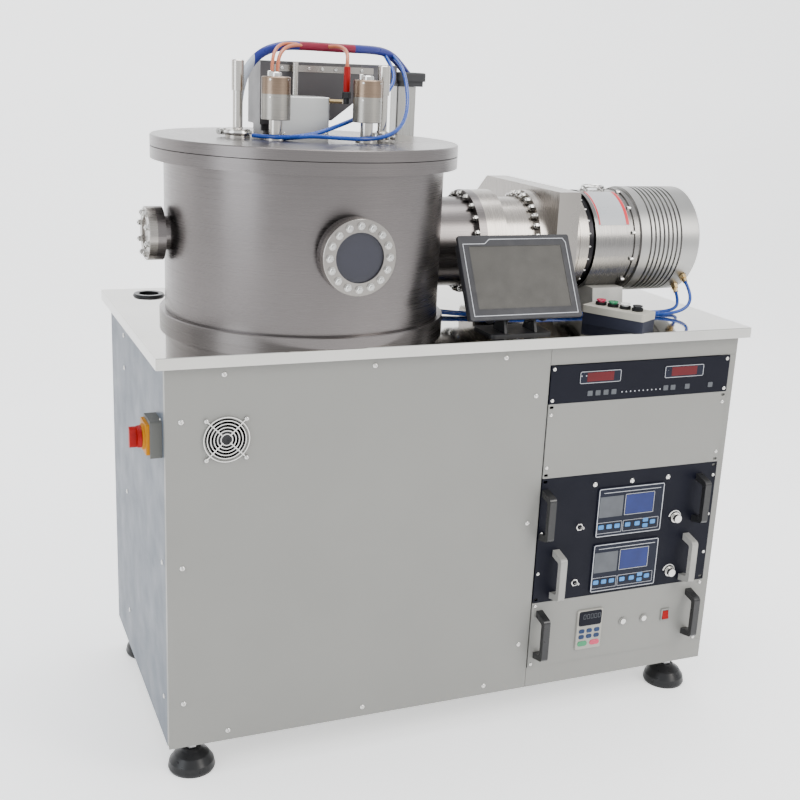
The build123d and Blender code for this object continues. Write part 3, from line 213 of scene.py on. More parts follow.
# Drawn lines: how far the noise is stretched along x, y and z
ALONG_X, UPRIGHT, ROUND_Z = (1400, 3, 3), (3, 3, 1400), (2, 2, 1500)
STEEL, CASING = (0.165, 0.151, 0.148), (0.22, 0.212, 0.205)
materials = {
    "cabinet": painted("cabinet_paint", (0.196, 0.194, 0.181), mottle=0.025),
    "sides": painted("side_paint", (0.060, 0.076, 0.102), mottle=0.015),
    "rack": painted("rack_paint", (0.0025, 0.003, 0.008), rough=0.5, sheen=0.14),
    "arm": painted("arm_paint", (0.060, 0.055, 0.058), rough=0.34),
    "frame": painted("frame_paint", (0.24, 0.24, 0.225)),
    "chamber": brushed("chamber_steel", STEEL, ROUND_Z, (0.24, 0.33)),
    "top_steel": brushed("worktop_steel", (0.56, 0.55, 0.52), (4, 700, 700), (0.05, 0.1), 0.006),
    "plate_steel": brushed("plate_steel", (0.31, 0.29, 0.27), (6, 900, 6), (0.22, 0.32)),
    "line_steel": brushed("line_steel", (0.33, 0.305, 0.28), ALONG_X, (0.2, 0.32)),
    "pump_alu": brushed("pump_aluminium", (0.36, 0.355, 0.345), ALONG_X, (0.3, 0.42)),
    "upright_steel": brushed("upright_steel", (0.34, 0.335, 0.32), (1100, 1100, 5), (0.24, 0.36)),
    "post_steel": brushed("post_steel", (0.50, 0.475, 0.44), UPRIGHT, (0.16, 0.26)),
    "hub": brushed("hub_steel", (0.50, 0.505, 0.50), (6, 900, 900), (0.36, 0.5)),
    "bright": brushed("bright_steel", (0.60, 0.59, 0.57), (200, 200, 200), (0.14, 0.24)),
    "brass": brushed("fitting_brass", (0.62, 0.46, 0.24), (90, 90, 90), (0.2, 0.36), 0.03),
    "black": moulded("black_plastic", (0.018, 0.018, 0.02), 0.36),
    "dark": moulded("dark_plastic", (0.035, 0.035, 0.038), 0.48),
    "rubber": moulded("foot_rubber", (0.012, 0.012, 0.013), 0.3),
    "seal": moulded("seal_rubber", (0.03, 0.018, 0.016), 0.6),
    "hmi": moulded("panel_plastic", (0.024, 0.024, 0.028), 0.44),
    "screen": moulded("screen_film", (0.050, 0.047, 0.042), 0.42, 3000),
    "saddle": moulded("saddle_plastic", (0.45, 0.44, 0.41), 0.4),
    "red": moulded("red_plastic", (0.26, 0.003, 0.003), 0.4, sheen=0.15),
    "red_cap": moulded("red_cap", (0.50, 0.030, 0.085), 0.22, coat=0.5),
    "green_cap": moulded("green_cap", (0.015, 0.21, 0.085), 0.22, coat=0.5),
    "white_cap": moulded("white_cap", (0.70, 0.70, 0.68), 0.25, coat=0.4),
    "lit_red": moulded("red_window", (0.085, 0.002, 0.005), 0.4),
    "lcd": moulded("blue_window", (0.012, 0.022, 0.115), 0.4),
    "grey_face": moulded("grey_window", (0.075, 0.080, 0.090), 0.35),
    "key_blue": moulded("blue_key", (0.055, 0.20, 0.46), 0.4),
    "outline": moulded("light_line", (0.46, 0.47, 0.50), 0.45),
    "navy_ink": moulded("navy_ink", (0.012, 0.030, 0.085), 0.45),
    "hose_blue": moulded("blue_hose", (0.006, 0.045, 0.27), 0.24, coat=0.2),
    "hose_orange": moulded("orange_hose", (0.42, 0.125, 0.06), 0.3, coat=0.2),
    "label": painted("label_plate", (0.36, 0.37, 0.385), 0.3),
    "stripe": painted("label_stripe", (0.50, 0.02, 0.03), 0.3),
}

glass, glass_tree, glass_shader = new_material("port_glass")
glass_shader.inputs["Base Color"].default_value = (0.045, 0.045, 0.06, 1)
glass_shader.inputs["Transmission Weight"].default_value = 0.35
glass_shader.inputs["IOR"].default_value = 1.45
glass_tree.links.new(spread(glass_tree, noise(glass_tree, 40.0), 0.02, 0.06),
                     glass_shader.inputs["Roughness"])

# Materials with bands: axis 0 runs along x and axis 2 upward, and the places are in metres
BLACK = (0.012, 0.012, 0.013)
HANDLE_BLACK = (0.014, 0.014, 0.015)
materials.update({
    "screen_glass": glass,
    "bronze": banded(brushed("source_shell", (0.3, 0.3, 0.3), UPRIGHT, (0.26, 0.36)), 2,
                     [1.443], [(0.30, 0.285, 0.26), (0.23, 0.165, 0.12)]),
    "switch_box": banded(moulded("switch_case", (0.3, 0.3, 0.3), 0.45, sheen=0.1), 0,
                         [LEFT_X - 0.0242], [(0.42, 0.165, 0.001), (0.12, 0.12, 0.112)]),
    "station_case": banded(moulded("station_case", (0.5, 0.5, 0.5), 0.45, sheen=0.15), 2,
                           [WORK_Z + 0.027, WORK_Z + 0.0445],
                           [(0.016, 0.018, 0.032), (0.36, 0.345, 0.30), BLACK]),
    "handles": banded(moulded("handle_mix", (0.02, 0.02, 0.02), 0.3, coat=0.3), 2,
                      [0.300, 0.450], [HANDLE_BLACK, (0.27, 0.265, 0.25), HANDLE_BLACK]),
    "feet": banded(moulded("foot_mix", (0.1, 0.1, 0.1), 0.3), 2,
                   [0.050], [BLACK, (0.55, 0.55, 0.55)], metallic=[0, 1]),
    "casing": banded(brushed("casing_mix", CASING, ALONG_X, (0.2, 0.32)), 0,
                     [CH_X + 0.6655, CH_X + 0.684], [CASING, (0.02, 0.019, 0.021), CASING]),
    "faces": banded(moulded("face_mix", (0.1, 0.1, 0.1), 0.4, sheen=0.15), 2,
                    [0.280], [(0.32, 0.31, 0.28), (0.008, 0.010, 0.020)]),
    "bundle_wrap": banded(moulded("bundle_film", (0.1, 0.1, 0.4), 0.3, 160), 0,
                          [-0.402, -0.300, -0.150],
                          [(0.50, 0.54, 0.62), (0.018, 0.028, 0.20), (0.20, 0.012, 0.032),
                           (0.020, 0.026, 0.18)]),
})

looks = {
    "cabinet": ["front_panels", "control_unit"],
    "sides": ["side_panels"],
    "frame": ["cabinet_frame"],
    "rack": ["gauge_unit", "power_units"],
    "arm": ["lift_arm"],
    "chamber": ["chamber_body", "chamber_flange", "chamber_lid", "chamber_base"],
    "post_steel": ["lid_feedthroughs", "shutter_left", "shutter_right"],
    "top_steel": ["worktop"],
    "plate_steel": ["valve_housing", "valve_disc", "sample_stage", "port_flanges"],
    "line_steel": ["duct_spool", "pump_adapter"],
    "pump_alu": ["pump_jacket", "pump_rotor"],
    "upright_steel": ["lift_column"],
    "hub": ["hub_cover"],
    "bright": ["start_button", "stop_button", "toggle_upper", "toggle_lower", "fan_guard",
               "power_knob_upper", "power_knob_lower"],
    "brass": ["water_fittings"],
    "black": ["hmi_stand", "black_button"],
    "dark": ["fan_frame", "fan_rotor", "lift_slider"],
    "rubber": ["cable_grommet"],
    "seal": ["lid_seal"],
    "hmi": ["hmi_case"],
    "screen": ["hmi_screen"],
    "saddle": ["pump_saddle"],
    "red": ["rocker", "switch_knob"],
    "red_cap": ["red_button"],
    "green_cap": ["green_button"],
    "white_cap": ["white_button"],
    "screen_glass": ["viewport_glass"],
    "bronze": ["source_heads"],
    "switch_box": ["switch_housing"],
    "station_case": ["button_station"],
    "handles": ["rack_handles"],
    "feet": ["levelling_feet"],
    "casing": ["pump_casing"],
    "faces": ["panel_displays"],
}
for look, names in looks.items():
    for name in names:
        mesh = nodes[name].data
        if not mesh.materials:
            mesh.materials.append(materials[look])
        for number in range(len(mesh.materials)):
            mesh.materials[number] = materials[look]


# Small geometry
SHARP = math.radians(32)


def add_piece(name, bm, look, body="cabinet"):
    mesh = bpy.data.meshes.new(name)
    bmesh.ops.recalc_face_normals(bm, faces=bm.faces)
    bm.to_mesh(mesh)
    bm.free()
    for face in mesh.polygons:
        face.use_smooth = True
    mesh.set_sharp_from_angle(angle=SHARP)
    mesh.materials.append(materials[look])
    piece = bpy.data.objects.new(name, mesh)
    bpy.context.scene.collection.objects.link(piece)
    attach(piece, body)


def turned(normal):
    # a turn that brings z to normal
    z = Vector(normal).normalized()
    side = Vector(Z) if abs(z.z) < 0.9 else Vector(X)
    x = side.cross(z).normalized()
    return Matrix((x, z.cross(x), z)).transposed()


def wall(bm, one, two):
    # faces between two closed rings of corners
    for step in range(len(one)):
        after = (step + 1) % len(one)
        bm.faces.new((one[step], one[after], two[after], two[step]))


def lathe(bm, point, normal, profile, count=24, wave=None):
    # turns (radius, height) points about normal; wave(step, number) scales a corner's radius
    turn, origin = turned(normal), Vector(point)
    rings = []
    for number, (radius, height) in enumerate(profile):
        ring = []
        for step in range(count):
            angle = 2 * math.pi * step / count
            reach = radius * (wave(step, number) if wave else 1)
            local = Vector((reach * math.cos(angle), reach * math.sin(angle), height))
            ring.append(bm.verts.new(origin + turn @ local))
        rings.append(ring)
    for low, high in zip(rings, rings[1:]):
        wall(bm, low, high)
    bm.faces.new(list(reversed(rings[0])))
    bm.faces.new(rings[-1])


HEX = math.cos(math.radians(30))


def hex_edge(step, number):
    # makes a ring of 12 corners a hexagon
    return HEX if step % 2 else 1.0


def socket_screw(bm, point, normal, radius, height):
    # cylinder head with a chamfer and a hexagon recess, whose rings are the last three
    profile = [(radius, 0), (radius, height * 0.85), (radius * 0.88, height), (radius * 0.5, height),
               (radius * 0.5, height * 0.4), (radius * 0.1, height * 0.35)]
    lathe(bm, point, normal, profile, 12,
          lambda step, number: hex_edge(step, number) if number > 2 else 1.0)


def hex_bolt(bm, point, normal, radius, height):
    # washer, hexagon and a short thread end
    washer = height * 0.18
    lathe(bm, point, normal, [(radius * 1.15, 0), (radius * 1.15, washer), (radius * 0.9, washer)], 20)
    base = Vector(point) + Vector(normal).normalized() * height * 0.18
    lathe(bm, base, normal, [(radius, 0), (radius, height * 0.72), (radius * 0.86, height * 0.82)],
          12, hex_edge)
    lathe(bm, base, normal, [(radius * 0.5, height * 0.8), (radius * 0.5, height * 1.05),
                             (radius * 0.4, height * 1.12)], 12)


def pan_screw(bm, point, normal, radius):
    # domed head with a cross recess: four lobes in the last two rings
    profile = [(radius, 0), (radius, radius * 0.18), (radius * 0.8, radius * 0.42),
               (radius * 0.5, radius * 0.52), (radius * 0.42, radius * 0.5), (radius * 0.12, radius * 0.2)]
    lathe(bm, point, normal, profile, 16,
          lambda step, number: (0.55 if step % 4 == 2 else 1.0) if number >= 4 else 1.0)


def bolt_ring(name, centre, axis, reach, count, radius, height, kind, phase=0.0):
    bm = bmesh.new()
    turn, origin = turned(axis), Vector(centre)
    for step in range(count):
        angle = 2 * math.pi * (step + phase) / count
        point = origin + turn @ Vector((reach * math.cos(angle), reach * math.sin(angle), 0))
        kind(bm, point, axis, radius, height)
    add_piece(name, bm, "bright")


def rounded_loop(width, height, radius, steps=5):
    # corner-rounded rectangle as (u, v) points
    points = []
    for cu, cv, start in ((1, 1, 0), (-1, 1, 90), (-1, -1, 180), (1, -1, 270)):
        for step in range(steps + 1):
            angle = math.radians(start + 90 * step / steps)
            points.append((cu * (width / 2 - radius) + radius * math.cos(angle),
                           cv * (height / 2 - radius) + radius * math.sin(angle)))
    return points


PLATE_SUNK = 0.0004                     # how far a thin plate reaches into the face under it


class Face:
    """A flat face that thin pieces are set on: u to the right, v up, w outward."""

    def __init__(self, origin, right_dir, up_dir):
        self.origin = Vector(origin)
        self.u = Vector(right_dir).normalized()
        self.v = Vector(up_dir).normalized()
        self.w = self.u.cross(self.v)

    def at(self, u, v, w=0.0):
        return self.origin + self.u * u + self.v * v + self.w * w

    def plate(self, bm, u, v, width, height, radius=0.001, thick=0.0006):
        loop = rounded_loop(width, height, radius)
        bottom = [bm.verts.new(self.at(u + a, v + b, -PLATE_SUNK)) for a, b in loop]
        top = [bm.verts.new(self.at(u + a, v + b, thick)) for a, b in loop]
        bm.faces.new(top)
        bm.faces.new(list(reversed(bottom)))
        wall(bm, bottom, top)

    def line_frame(self, bm, u, v, width, height, radius=0.004, line=0.001, thick=0.0005, low=-0.0003):
        outer = rounded_loop(width, height, radius)
        inner = rounded_loop(width - 2 * line, height - 2 * line, max(radius - line, 0.0003))
        rings = []
        for loop, w in ((outer, low), (outer, thick), (inner, thick), (inner, low)):
            rings.append([bm.verts.new(self.at(u + a, v + b, w)) for a, b in loop])
        for one, two in zip(rings, rings[1:] + rings[:1]):
            wall(bm, one, two)


def front_face(x, y, z):
    return Face((x, y, z), X, Z)


def on_pump(along):
    # a point of the pump line's axis, by its distance from the chamber's axis
    return CH_X + along, CH_Y, PUMP_Z


# Rings of bolts: name, middle of the ring, direction, the ring's radius, number of bolts, their radius
# and height, their kind, and how far the first is turned, in parts of a step
VIEW_FACE, SIDE_FACE = 0.365, 0.351
for ring in (
        ("view_bolts", (CH_X, CH_Y - VIEW_FACE, PORT_Z), FRONT, 0.0625, 16, 0.0068, 0.0075, hex_bolt),
        ("side_port_bolts", (CH_X - SIDE_FACE, CH_Y, PORT_Z), LEFT, 0.0455, 8, 0.0065, 0.007, hex_bolt, 0.5),
        ("flange_a_bolts", on_pump(0.381), LEFT, 0.1117, 20, 0.0068, 0.008, hex_bolt),
        ("flange_b_bolts", on_pump(0.536), LEFT, 0.1117, 28, 0.0068, 0.010, hex_bolt),
        ("adapter_bolts", on_pump(0.665), X, 0.1168, 24, 0.0028, 0.006, socket_screw),
        ("casing_bolts", on_pump(0.790), LEFT, 0.1213, 12, 0.0045, 0.009, socket_screw, 0.5),
        ("end_cap_bolts", on_pump(0.977), X, 0.098, 8, 0.0055, 0.005, socket_screw),
        ("valve_front_bolts", on_pump(0.621), X, 0.1262, 4, 0.004, 0.004, socket_screw, 0.5),
        ("column_bolts_a", (CH_X + 0.315, CH_Y + 0.220, WORK_Z + 0.010), Z, 0.054, 4, 0.006, 0.006,
         socket_screw, 0.5)):
    bolt_ring(*ring)

# Viewing port: the metal ring round the glass
bm = bmesh.new()
lathe(bm, (CH_X, CH_Y - VIEW_FACE + 0.012, PORT_Z), FRONT,
      [(0.0498, 0), (0.0498, 0.0025), (0.045, 0.0035), (0.044, 0.0015), (0.044, 0.0)], 48)
add_piece("view_seal", bm, "bright")

# Lid: clamp rings round the posts with their ears and screws
CLAMP_Z = LID_TOP + 0.011
for number, (px, py) in enumerate(POSTS):
    bm = bmesh.new()
    lathe(bm, (px, py, LID_TOP + 0.0065), Z,
          [(0.024, 0), (0.029, 0.001), (0.030, 0.004), (0.029, 0.008), (0.024, 0.009), (0.0205, 0.009),
           (0.0205, 0)], 40)
    angle = 2.2 + number * 2.4
    toward = Vector((math.cos(angle), math.sin(angle), 0))
    across = Vector((-toward.y, toward.x, 0))
    for side in (-1, 1):
        middle = Vector((px, py, CLAMP_Z)) + toward * 0.034 + across * side * 0.006
        lathe(bm, middle - Vector((0, 0, 0.007)), Z,
              [(0.0055, 0), (0.006, 0.002), (0.006, 0.012), (0.0055, 0.014)], 12)
    screw = Vector((px, py, CLAMP_Z)) + toward * 0.036
    lathe(bm, screw - across * 0.016, across, [(0.003, 0), (0.003, 0.034), (0.002, 0.035)], 12)
    lathe(bm, screw + across * 0.013, across, [(0.007, 0), (0.007, 0.006)], 8)
    add_piece(f"post_clamp_{number}", bm, "bright", "lid")

# Set screws in two rows round each source head, and the glands on top
SOURCE_RADIUS, SOURCE_TOP = 0.0300, 1.478
bm = bmesh.new()
for px, py in SOURCES:
    for angle in (-2.25, -0.9, 0.5, 1.8):
        out = Vector((math.cos(angle), math.sin(angle), 0))
        for height in (1.437, 1.472):
            socket_screw(bm, Vector((px, py, height)) + out * SOURCE_RADIUS, out, 0.0022, 0.0016)
add_piece("source_screws", bm, "bright", "lid")

bm = bmesh.new()
for px, py in SOURCES:
    lathe(bm, (px, py, SOURCE_TOP), Z, [(0.012, -0.001), (0.012, 0.007), (0.009, 0.009), (0.005, 0.009)], 24)
    lathe(bm, (px - 0.010, py + 0.014, SOURCE_TOP), Z, [(0.005, -0.001), (0.005, 0.010), (0.0035, 0.011)], 12)
add_piece("source_glands", bm, "bright", "lid")

# A cover strip with screws along the arm's front face, and the hub cover's two screws
STRIP_Z = 1.494
arm_face = front_face(0, CH_Y + 0.072, 0)
bm = bmesh.new()
arm_face.plate(bm, CH_X + 0.062, STRIP_Z, 0.235, 0.014, 0.002, 0.002)
add_piece("arm_strip", bm, "plate_steel", "lid")
bm = bmesh.new()
for step in range(7):
    socket_screw(bm, arm_face.at(CH_X - 0.035 + step * 0.031, STRIP_Z, 0.0018), FRONT, 0.0036, 0.003)
add_piece("arm_strip_screws", bm, "bright", "lid")
hub_face = front_face(0, CH_Y - 0.008 - 0.041, 0)
bm = bmesh.new()
for along in (-0.046, 0.046):
    pan_screw(bm, hub_face.at(CH_X - 0.017 + along, 1.358 + 0.003), FRONT, 0.0032)
add_piece("hub_screws", bm, "bright", "lid")

# Lifting ring on top of the pump: two feet and an oval bow
RING_FOOT = Vector((CH_X + 0.733, CH_Y, PUMP_Z + 0.1195))
RING_REACH, RING_OVAL, RING_THICK = 0.027, 0.75, 0.0032
bm = bmesh.new()
for side in (-1, 1):
    lathe(bm, RING_FOOT + Vector((side * 0.024, 0, -0.001)), Z,
          [(0.010, 0), (0.010, 0.004), (0.007, 0.008), (0.005, 0.010)], 20)
turn_steps, tube_steps = 40, 10
rings = []
for step in range(turn_steps):
    angle = 2 * math.pi * step / turn_steps
    out = Vector((math.cos(angle), math.sin(angle) * RING_OVAL, 0))
    middle = RING_FOOT + Vector((0, 0, 0.0085)) + out * RING_REACH
    ring = []
    for number in range(tube_steps):
        turn = 2 * math.pi * number / tube_steps
        ring.append(bm.verts.new(middle + out * RING_THICK * math.cos(turn)
                                 + Vector((0, 0, RING_THICK * math.sin(turn)))))
    rings.append(ring)
for one, two in zip(rings, rings[1:] + rings[:1]):
    for step in range(tube_steps):
        after = (step + 1) % tube_steps
        bm.faces.new((one[step], two[step], two[after], one[after]))
add_piece("lifting_ring", bm, "bright")


# Bare rating plate on the pump, with coloured edges, bent round the casing
CASE_R = 0.1195


def bent_plate(bm, low, high, angle_low, angle_high, radius, thick):
    # from low to high along the pump line, and from one angle to the other above its front
    steps = 20
    rows = []
    for step in range(steps + 1):
        angle = math.radians(angle_low + (angle_high - angle_low) * step / steps)
        out = Vector((0, -math.cos(angle), math.sin(angle)))
        centre = Vector((0, CH_Y, PUMP_Z))
        corners = ((low, radius), (low, radius + thick), (high, radius + thick), (high, radius))
        rows.append([bm.verts.new(centre + out * reach + Vector((CH_X + along, 0, 0)))
                     for along, reach in corners])
    for one, two in zip(rows, rows[1:]):
        wall(bm, one, two)
    bm.faces.new(rows[0])
    bm.faces.new(list(reversed(rows[-1])))


bm = bmesh.new()
bent_plate(bm, 0.693, 0.778, 24, 78, CASE_R - 0.0002, 0.0009)
add_piece("rating_plate", bm, "label")
bm = bmesh.new()
for low, high in ((0.694, 0.698), (0.769, 0.777)):
    bent_plate(bm, low, high, 24.5, 77.5, CASE_R, 0.0011)
add_piece("rating_plate_edges", bm, "stripe")

# Small port on the pump's end
bm = bmesh.new()
lathe(bm, (CH_X + 0.976, CH_Y - 0.080, PUMP_Z + 0.010), X,
      [(0.011, 0), (0.011, 0.004), (0.008, 0.005), (0.008, 0.001), (0.002, 0.0)], 24)
add_piece("end_port", bm, "brass")

# Screws on the cabinet's front, the fan, the rack panels and the cabinet's left side
FAN_X, FAN_Z, FAN_HOLE = X0 - 0.557, 0.774, 0.04125
cabinet_face = front_face(0, FRONT_Y, 0)
bm = bmesh.new()
for x, z in ((-0.561, 0.909), (-0.241, 0.909), (0.065, 0.909), (-0.648, 0.816), (-0.648, 0.502),
             (-0.648, 0.190), (-0.552, 0.108), (-0.241, 0.108), (0.065, 0.108), (0.146, 0.817),
             (0.149, 0.512), (0.151, 0.203)):
    pan_screw(bm, cabinet_face.at(x + X0, z), FRONT, 0.0058)
for side in (-1, 1):
    for high in (-1, 1):
        corner = cabinet_face.at(FAN_X + side * FAN_HOLE, FAN_Z + high * FAN_HOLE, 0.0045)
        pan_screw(bm, corner, FRONT, 0.0044)
add_piece("front_screws", bm, "bright")

RACK_SCREW = 0.2333                     # from the rack's middle to its columns of screws
rack_face = front_face(RACK_X, PANEL_Y, 0)
bm = bmesh.new()
for radius, heights in ((0.0045, (0.8765, 0.8036, 0.770, 0.644, 0.298, 0.146)),
                        (0.0042, (0.584, 0.482, 0.381))):
    for side in (-1, 1):
        for z in heights:
            pan_screw(bm, rack_face.at(side * RACK_SCREW, z), FRONT, radius)
add_piece("rack_screws", bm, "bright")

left_face = Face((LEFT_X, 0, 0), FRONT, Z)
bm = bmesh.new()
for y, heights in ((0.143, (0.885, 0.808, 0.502, 0.190)), (-0.286, (0.808, 0.502, 0.190))):
    for z in heights:
        pan_screw(bm, left_face.at(-(y + Y0), z), LEFT, 0.0055)
add_piece("side_screws", bm, "bright")

# Gauge unit: two lit windows, keys and a row of lamps
gauge = front_face(RACK_X, PANEL_Y - 0.001, 0.853)
frames, windows = bmesh.new(), bmesh.new()
for u in (-0.113, 0.114):
    gauge.line_frame(frames, u, 0, 0.107, 0.028)
    gauge.plate(windows, u, 0.0005, 0.070, 0.021, 0.001, 0.0004)
add_piece("gauge_frames", frames, "outline")
add_piece("gauge_windows", windows, "lit_red")
bm = bmesh.new()
for u in (-0.137, -0.116, -0.095, -0.074, 0.067, 0.087, 0.127, 0.192):
    rack_face.plate(bm, u, 0.815, 0.013, 0.012, 0.0015, 0.0008)
add_piece("gauge_keys", bm, "grey_face")
bm = bmesh.new()
for step in range(10):
    lathe(bm, rack_face.at(-0.052 + step * 0.0115, 0.813), FRONT,
          [(0.0016, 0), (0.0016, 0.0006), (0.0009, 0.0011)], 12)
for u in (-0.163, -0.151, 0.070, 0.070):
    lathe(bm, gauge.at(u, 0.004), FRONT, [(0.0014, 0), (0.0014, 0.0007)], 10)
add_piece("gauge_lamps", bm, "outline")

# Power supplies: lamps, framed displays with keys, scale arcs round the knobs, nuts of the toggles
bm = bmesh.new()
for u in (-0.1, 0.001, 0.102):
    lathe(bm, rack_face.at(u, 0.591), FRONT,
          [(0.0062, 0), (0.0062, 0.0015), (0.0045, 0.003), (0.0035, 0.0022), (0.0008, 0.0026)], 20)
add_piece("supply_lamps", bm, "bright")
lines, greys, lcds, keys, scales, nuts = [bmesh.new() for _ in range(6)]
ARC_STEPS, ARC_RADIUS = 24, 0.0165
for z in DISPLAY_Z:
    screen = front_face(DISPLAY_X, PANEL_Y - 0.004, z)
    screen.line_frame(lines, 0, 0, 0.180, 0.121, 0.004, 0.0016)
    screen.plate(lines, 0.002, 0.0495, 0.158, 0.0012, 0.0004, 0.0004)
    for u, v, width, height, line in ((-0.0545, -0.0385, 0.068, 0.028, 0.0007),
                                      (0.0325, -0.0385, 0.099, 0.028, 0.0007),
                                      (0.024, 0.0155, 0.081, 0.053, 0.0009)):
        screen.line_frame(lines, u, v, width, height, 0.002, line)
    screen.plate(greys, -0.0545, 0.0145, 0.064, 0.052, 0.002, 0.0008)
    screen.plate(lcds, 0.024, 0.0155, 0.077, 0.049, 0.0015, 0.0006)
    for u in (-0.0775, -0.0555, -0.0335, -0.004, 0.0225, 0.066):
        screen.plate(keys, u, -0.036, 0.014, 0.0105, 0.002, 0.0012)
    for v in (-0.0295, -0.0435):
        screen.plate(keys, 0.0455, v, 0.014, 0.0095, 0.002, 0.0012)
    centre = rack_face.at(0.135, z - 0.034)
    points = []
    for step in range(ARC_STEPS + 1):
        angle = math.radians(-20 + 190 * step / ARC_STEPS)
        half = 0.0004 + 0.0016 * step / ARC_STEPS
        for reach in (ARC_RADIUS - half, ARC_RADIUS + half):
            offset = Vector((reach * math.cos(angle), -0.0005, reach * math.sin(angle)))
            points.append(scales.verts.new(centre + offset))
    for step in range(ARC_STEPS):
        a, b, c, d = points[2 * step:2 * step + 4]
        scales.faces.new((a, b, d, c))
    lathe(nuts, rack_face.at(-0.132, z - 0.030), FRONT,
          [(0.0095, 0), (0.0095, 0.0015), (0.0065, 0.0018), (0.0065, 0.0005)], 12, hex_edge)
for name, bm, look in (("supply_lines", lines, "outline"), ("supply_grey", greys, "grey_face"),
                       ("supply_screens", lcds, "lcd"), ("supply_keys", keys, "key_blue"),
                       ("knob_scales", scales, "white_cap"), ("toggle_nuts", nuts, "bright")):
    add_piece(name, bm, look)

# Drive keypad on the control panel
keypad = front_face(RACK_X - 0.081, PANEL_Y - 0.005, 0.218)
bm = bmesh.new()
keypad.plate(bm, 0, 0.030, 0.062, 0.038, 0.005, 0.0010)
add_piece("keypad_window", bm, "rack")
bm = bmesh.new()
for step in range(5):
    keypad.line_frame(bm, -0.016 + step * 0.010, 0.035, 0.007, 0.012, 0.0008, 0.0009, 0.0014, 0.0006)
add_piece("keypad_digits", bm, "grey_face")
bm = bmesh.new()
for v in (-0.003, -0.018):
    for u in (-0.021, 0.0, 0.021):
        keypad.plate(bm, u, v, 0.015, 0.0105, 0.004, 0.0012)
add_piece("keypad_keys", bm, "navy_ink")
for name, u, look in (("keypad_run", -0.017, "green_cap"), ("keypad_stop", 0.017, "red_cap")):
    bm = bmesh.new()
    keypad.plate(bm, u, -0.036, 0.026, 0.013, 0.006, 0.0014)
    add_piece(name, bm, look)

# Operator panel: a raised outline with a step at its upper left, and the screen's edge
TILT = math.radians(29.5)
hmi = Face((X0 + 0.107, Y0 - 0.290, 1.080), X, (0, math.sin(TILT), math.cos(TILT)))
U, V, STEP = 0.1265, 0.0865, 0.010      # half width and height of the outline, and its step
HALF_LINE, LINE_LOW, LINE_TOP = 0.0007, -0.0002, 0.0005
corners = [(-U, -V), (U, -V), (U, V - STEP), (U - STEP * 0.6, V), (-0.062, V), (-0.074, V - STEP),
           (-U, V - STEP)]
bm = bmesh.new()
rings = []
for grow, w in ((HALF_LINE, LINE_LOW), (HALF_LINE, LINE_TOP), (-HALF_LINE, LINE_TOP), (-HALF_LINE, LINE_LOW)):
    ring = []
    for number, (u, v) in enumerate(corners):
        before, after = corners[number - 1], corners[(number + 1) % len(corners)]
        one = Vector((u - before[0], v - before[1])).normalized()
        two = Vector((after[0] - u, after[1] - v)).normalized()
        normal = Vector((one.y + two.y, -one.x - two.x)).normalized()
        scale = grow / max(0.5, normal.dot(Vector((one.y, -one.x))))
        ring.append(bm.verts.new(hmi.at(u + normal.x * scale, v + normal.y * scale, w)))
    rings.append(ring)
for one, two in zip(rings, rings[1:] + rings[:1]):
    wall(bm, one, two)
add_piece("panel_outline", bm, "outline", "operator_panel")
bm = bmesh.new()
hmi.line_frame(bm, 0, 0, 0.230, 0.146, 0.003, 0.0022, 0.0003, -0.0015)
add_piece("screen_edge", bm, "black", "operator_panel")


# Hoses: each a smooth curve led by given points, in metres
def hose(name, points, thick, look, body="lid", far_end="object", **words):
    curve = bpy.data.curves.new(name, "CURVE")
    curve.dimensions = "3D"
    curve.bevel_depth = thick / 2
    curve.bevel_resolution = 5
    curve.resolution_u = 10
    curve.use_fill_caps = True
    spline = curve.splines.new("NURBS")
    spline.points.add(len(points) - 1)
    for place, point in zip(spline.points, points):
        place.co = (*point, 1)
    spline.order_u = 3
    spline.use_endpoint_u = True
    curve.materials.append(materials[look])
    piece = bpy.data.objects.new(name, curve)
    bpy.context.scene.collection.objects.link(piece)
    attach(piece, body)
    line = curve.copy()
    line.bevel_depth = 0
    probe = bpy.data.objects.new(name + "_probe", line)
    bpy.context.scene.collection.objects.link(probe)
    bpy.context.view_layer.update()
    mesh = bpy.data.meshes.new_from_object(probe.evaluated_get(bpy.context.evaluated_depsgraph_get()))
    bpy.data.objects.remove(probe)
    bpy.data.meshes.remove(mesh)


hose("cooling_hose_a", [
    (-0.420, -0.060, 1.3565), (-0.405, -0.100, 1.3565), (-0.360, -0.128, 1.358), (-0.300, -0.122, 1.366),
    (-0.240, -0.095, 1.383), (-0.190, -0.062, 1.397), (-0.150, -0.018, 1.410), (-0.116, 0.020, 1.430),
    (-0.080, 0.048, 1.447), (-0.050, 0.080, 1.474), (-0.040, 0.120, 1.505), (-0.050, 0.146, 1.530)],
     0.009, "hose_blue")
hose("cooling_hose_b", [
    (-0.373, -0.098, 1.353), (-0.352, -0.122, 1.357), (-0.318, -0.134, 1.362), (-0.270, -0.140, 1.360),
    (-0.210, -0.148, 1.358), (-0.160, -0.136, 1.361), (-0.110, -0.102, 1.374), (-0.068, -0.045, 1.402),
    (-0.040, 0.020, 1.445), (-0.024, 0.080, 1.486), (-0.018, 0.130, 1.514), (-0.024, 0.164, 1.531)],
     0.009, "hose_blue")
hose("hose_bundle", [
    (-0.424, 0.060, 1.349), (-0.426, 0.050, 1.395), (-0.426, 0.030, 1.445), (-0.416, 0.012, 1.492),
    (-0.386, 0.003, 1.526), (-0.340, 0.004, 1.541), (-0.280, 0.022, 1.542), (-0.220, 0.045, 1.541),
    (-0.150, 0.080, 1.541), (-0.095, 0.116, 1.541), (-0.048, 0.151, 1.538), (-0.006, 0.182, 1.522),
    (0.034, 0.212, 1.490)],
     0.019, "bundle_wrap")
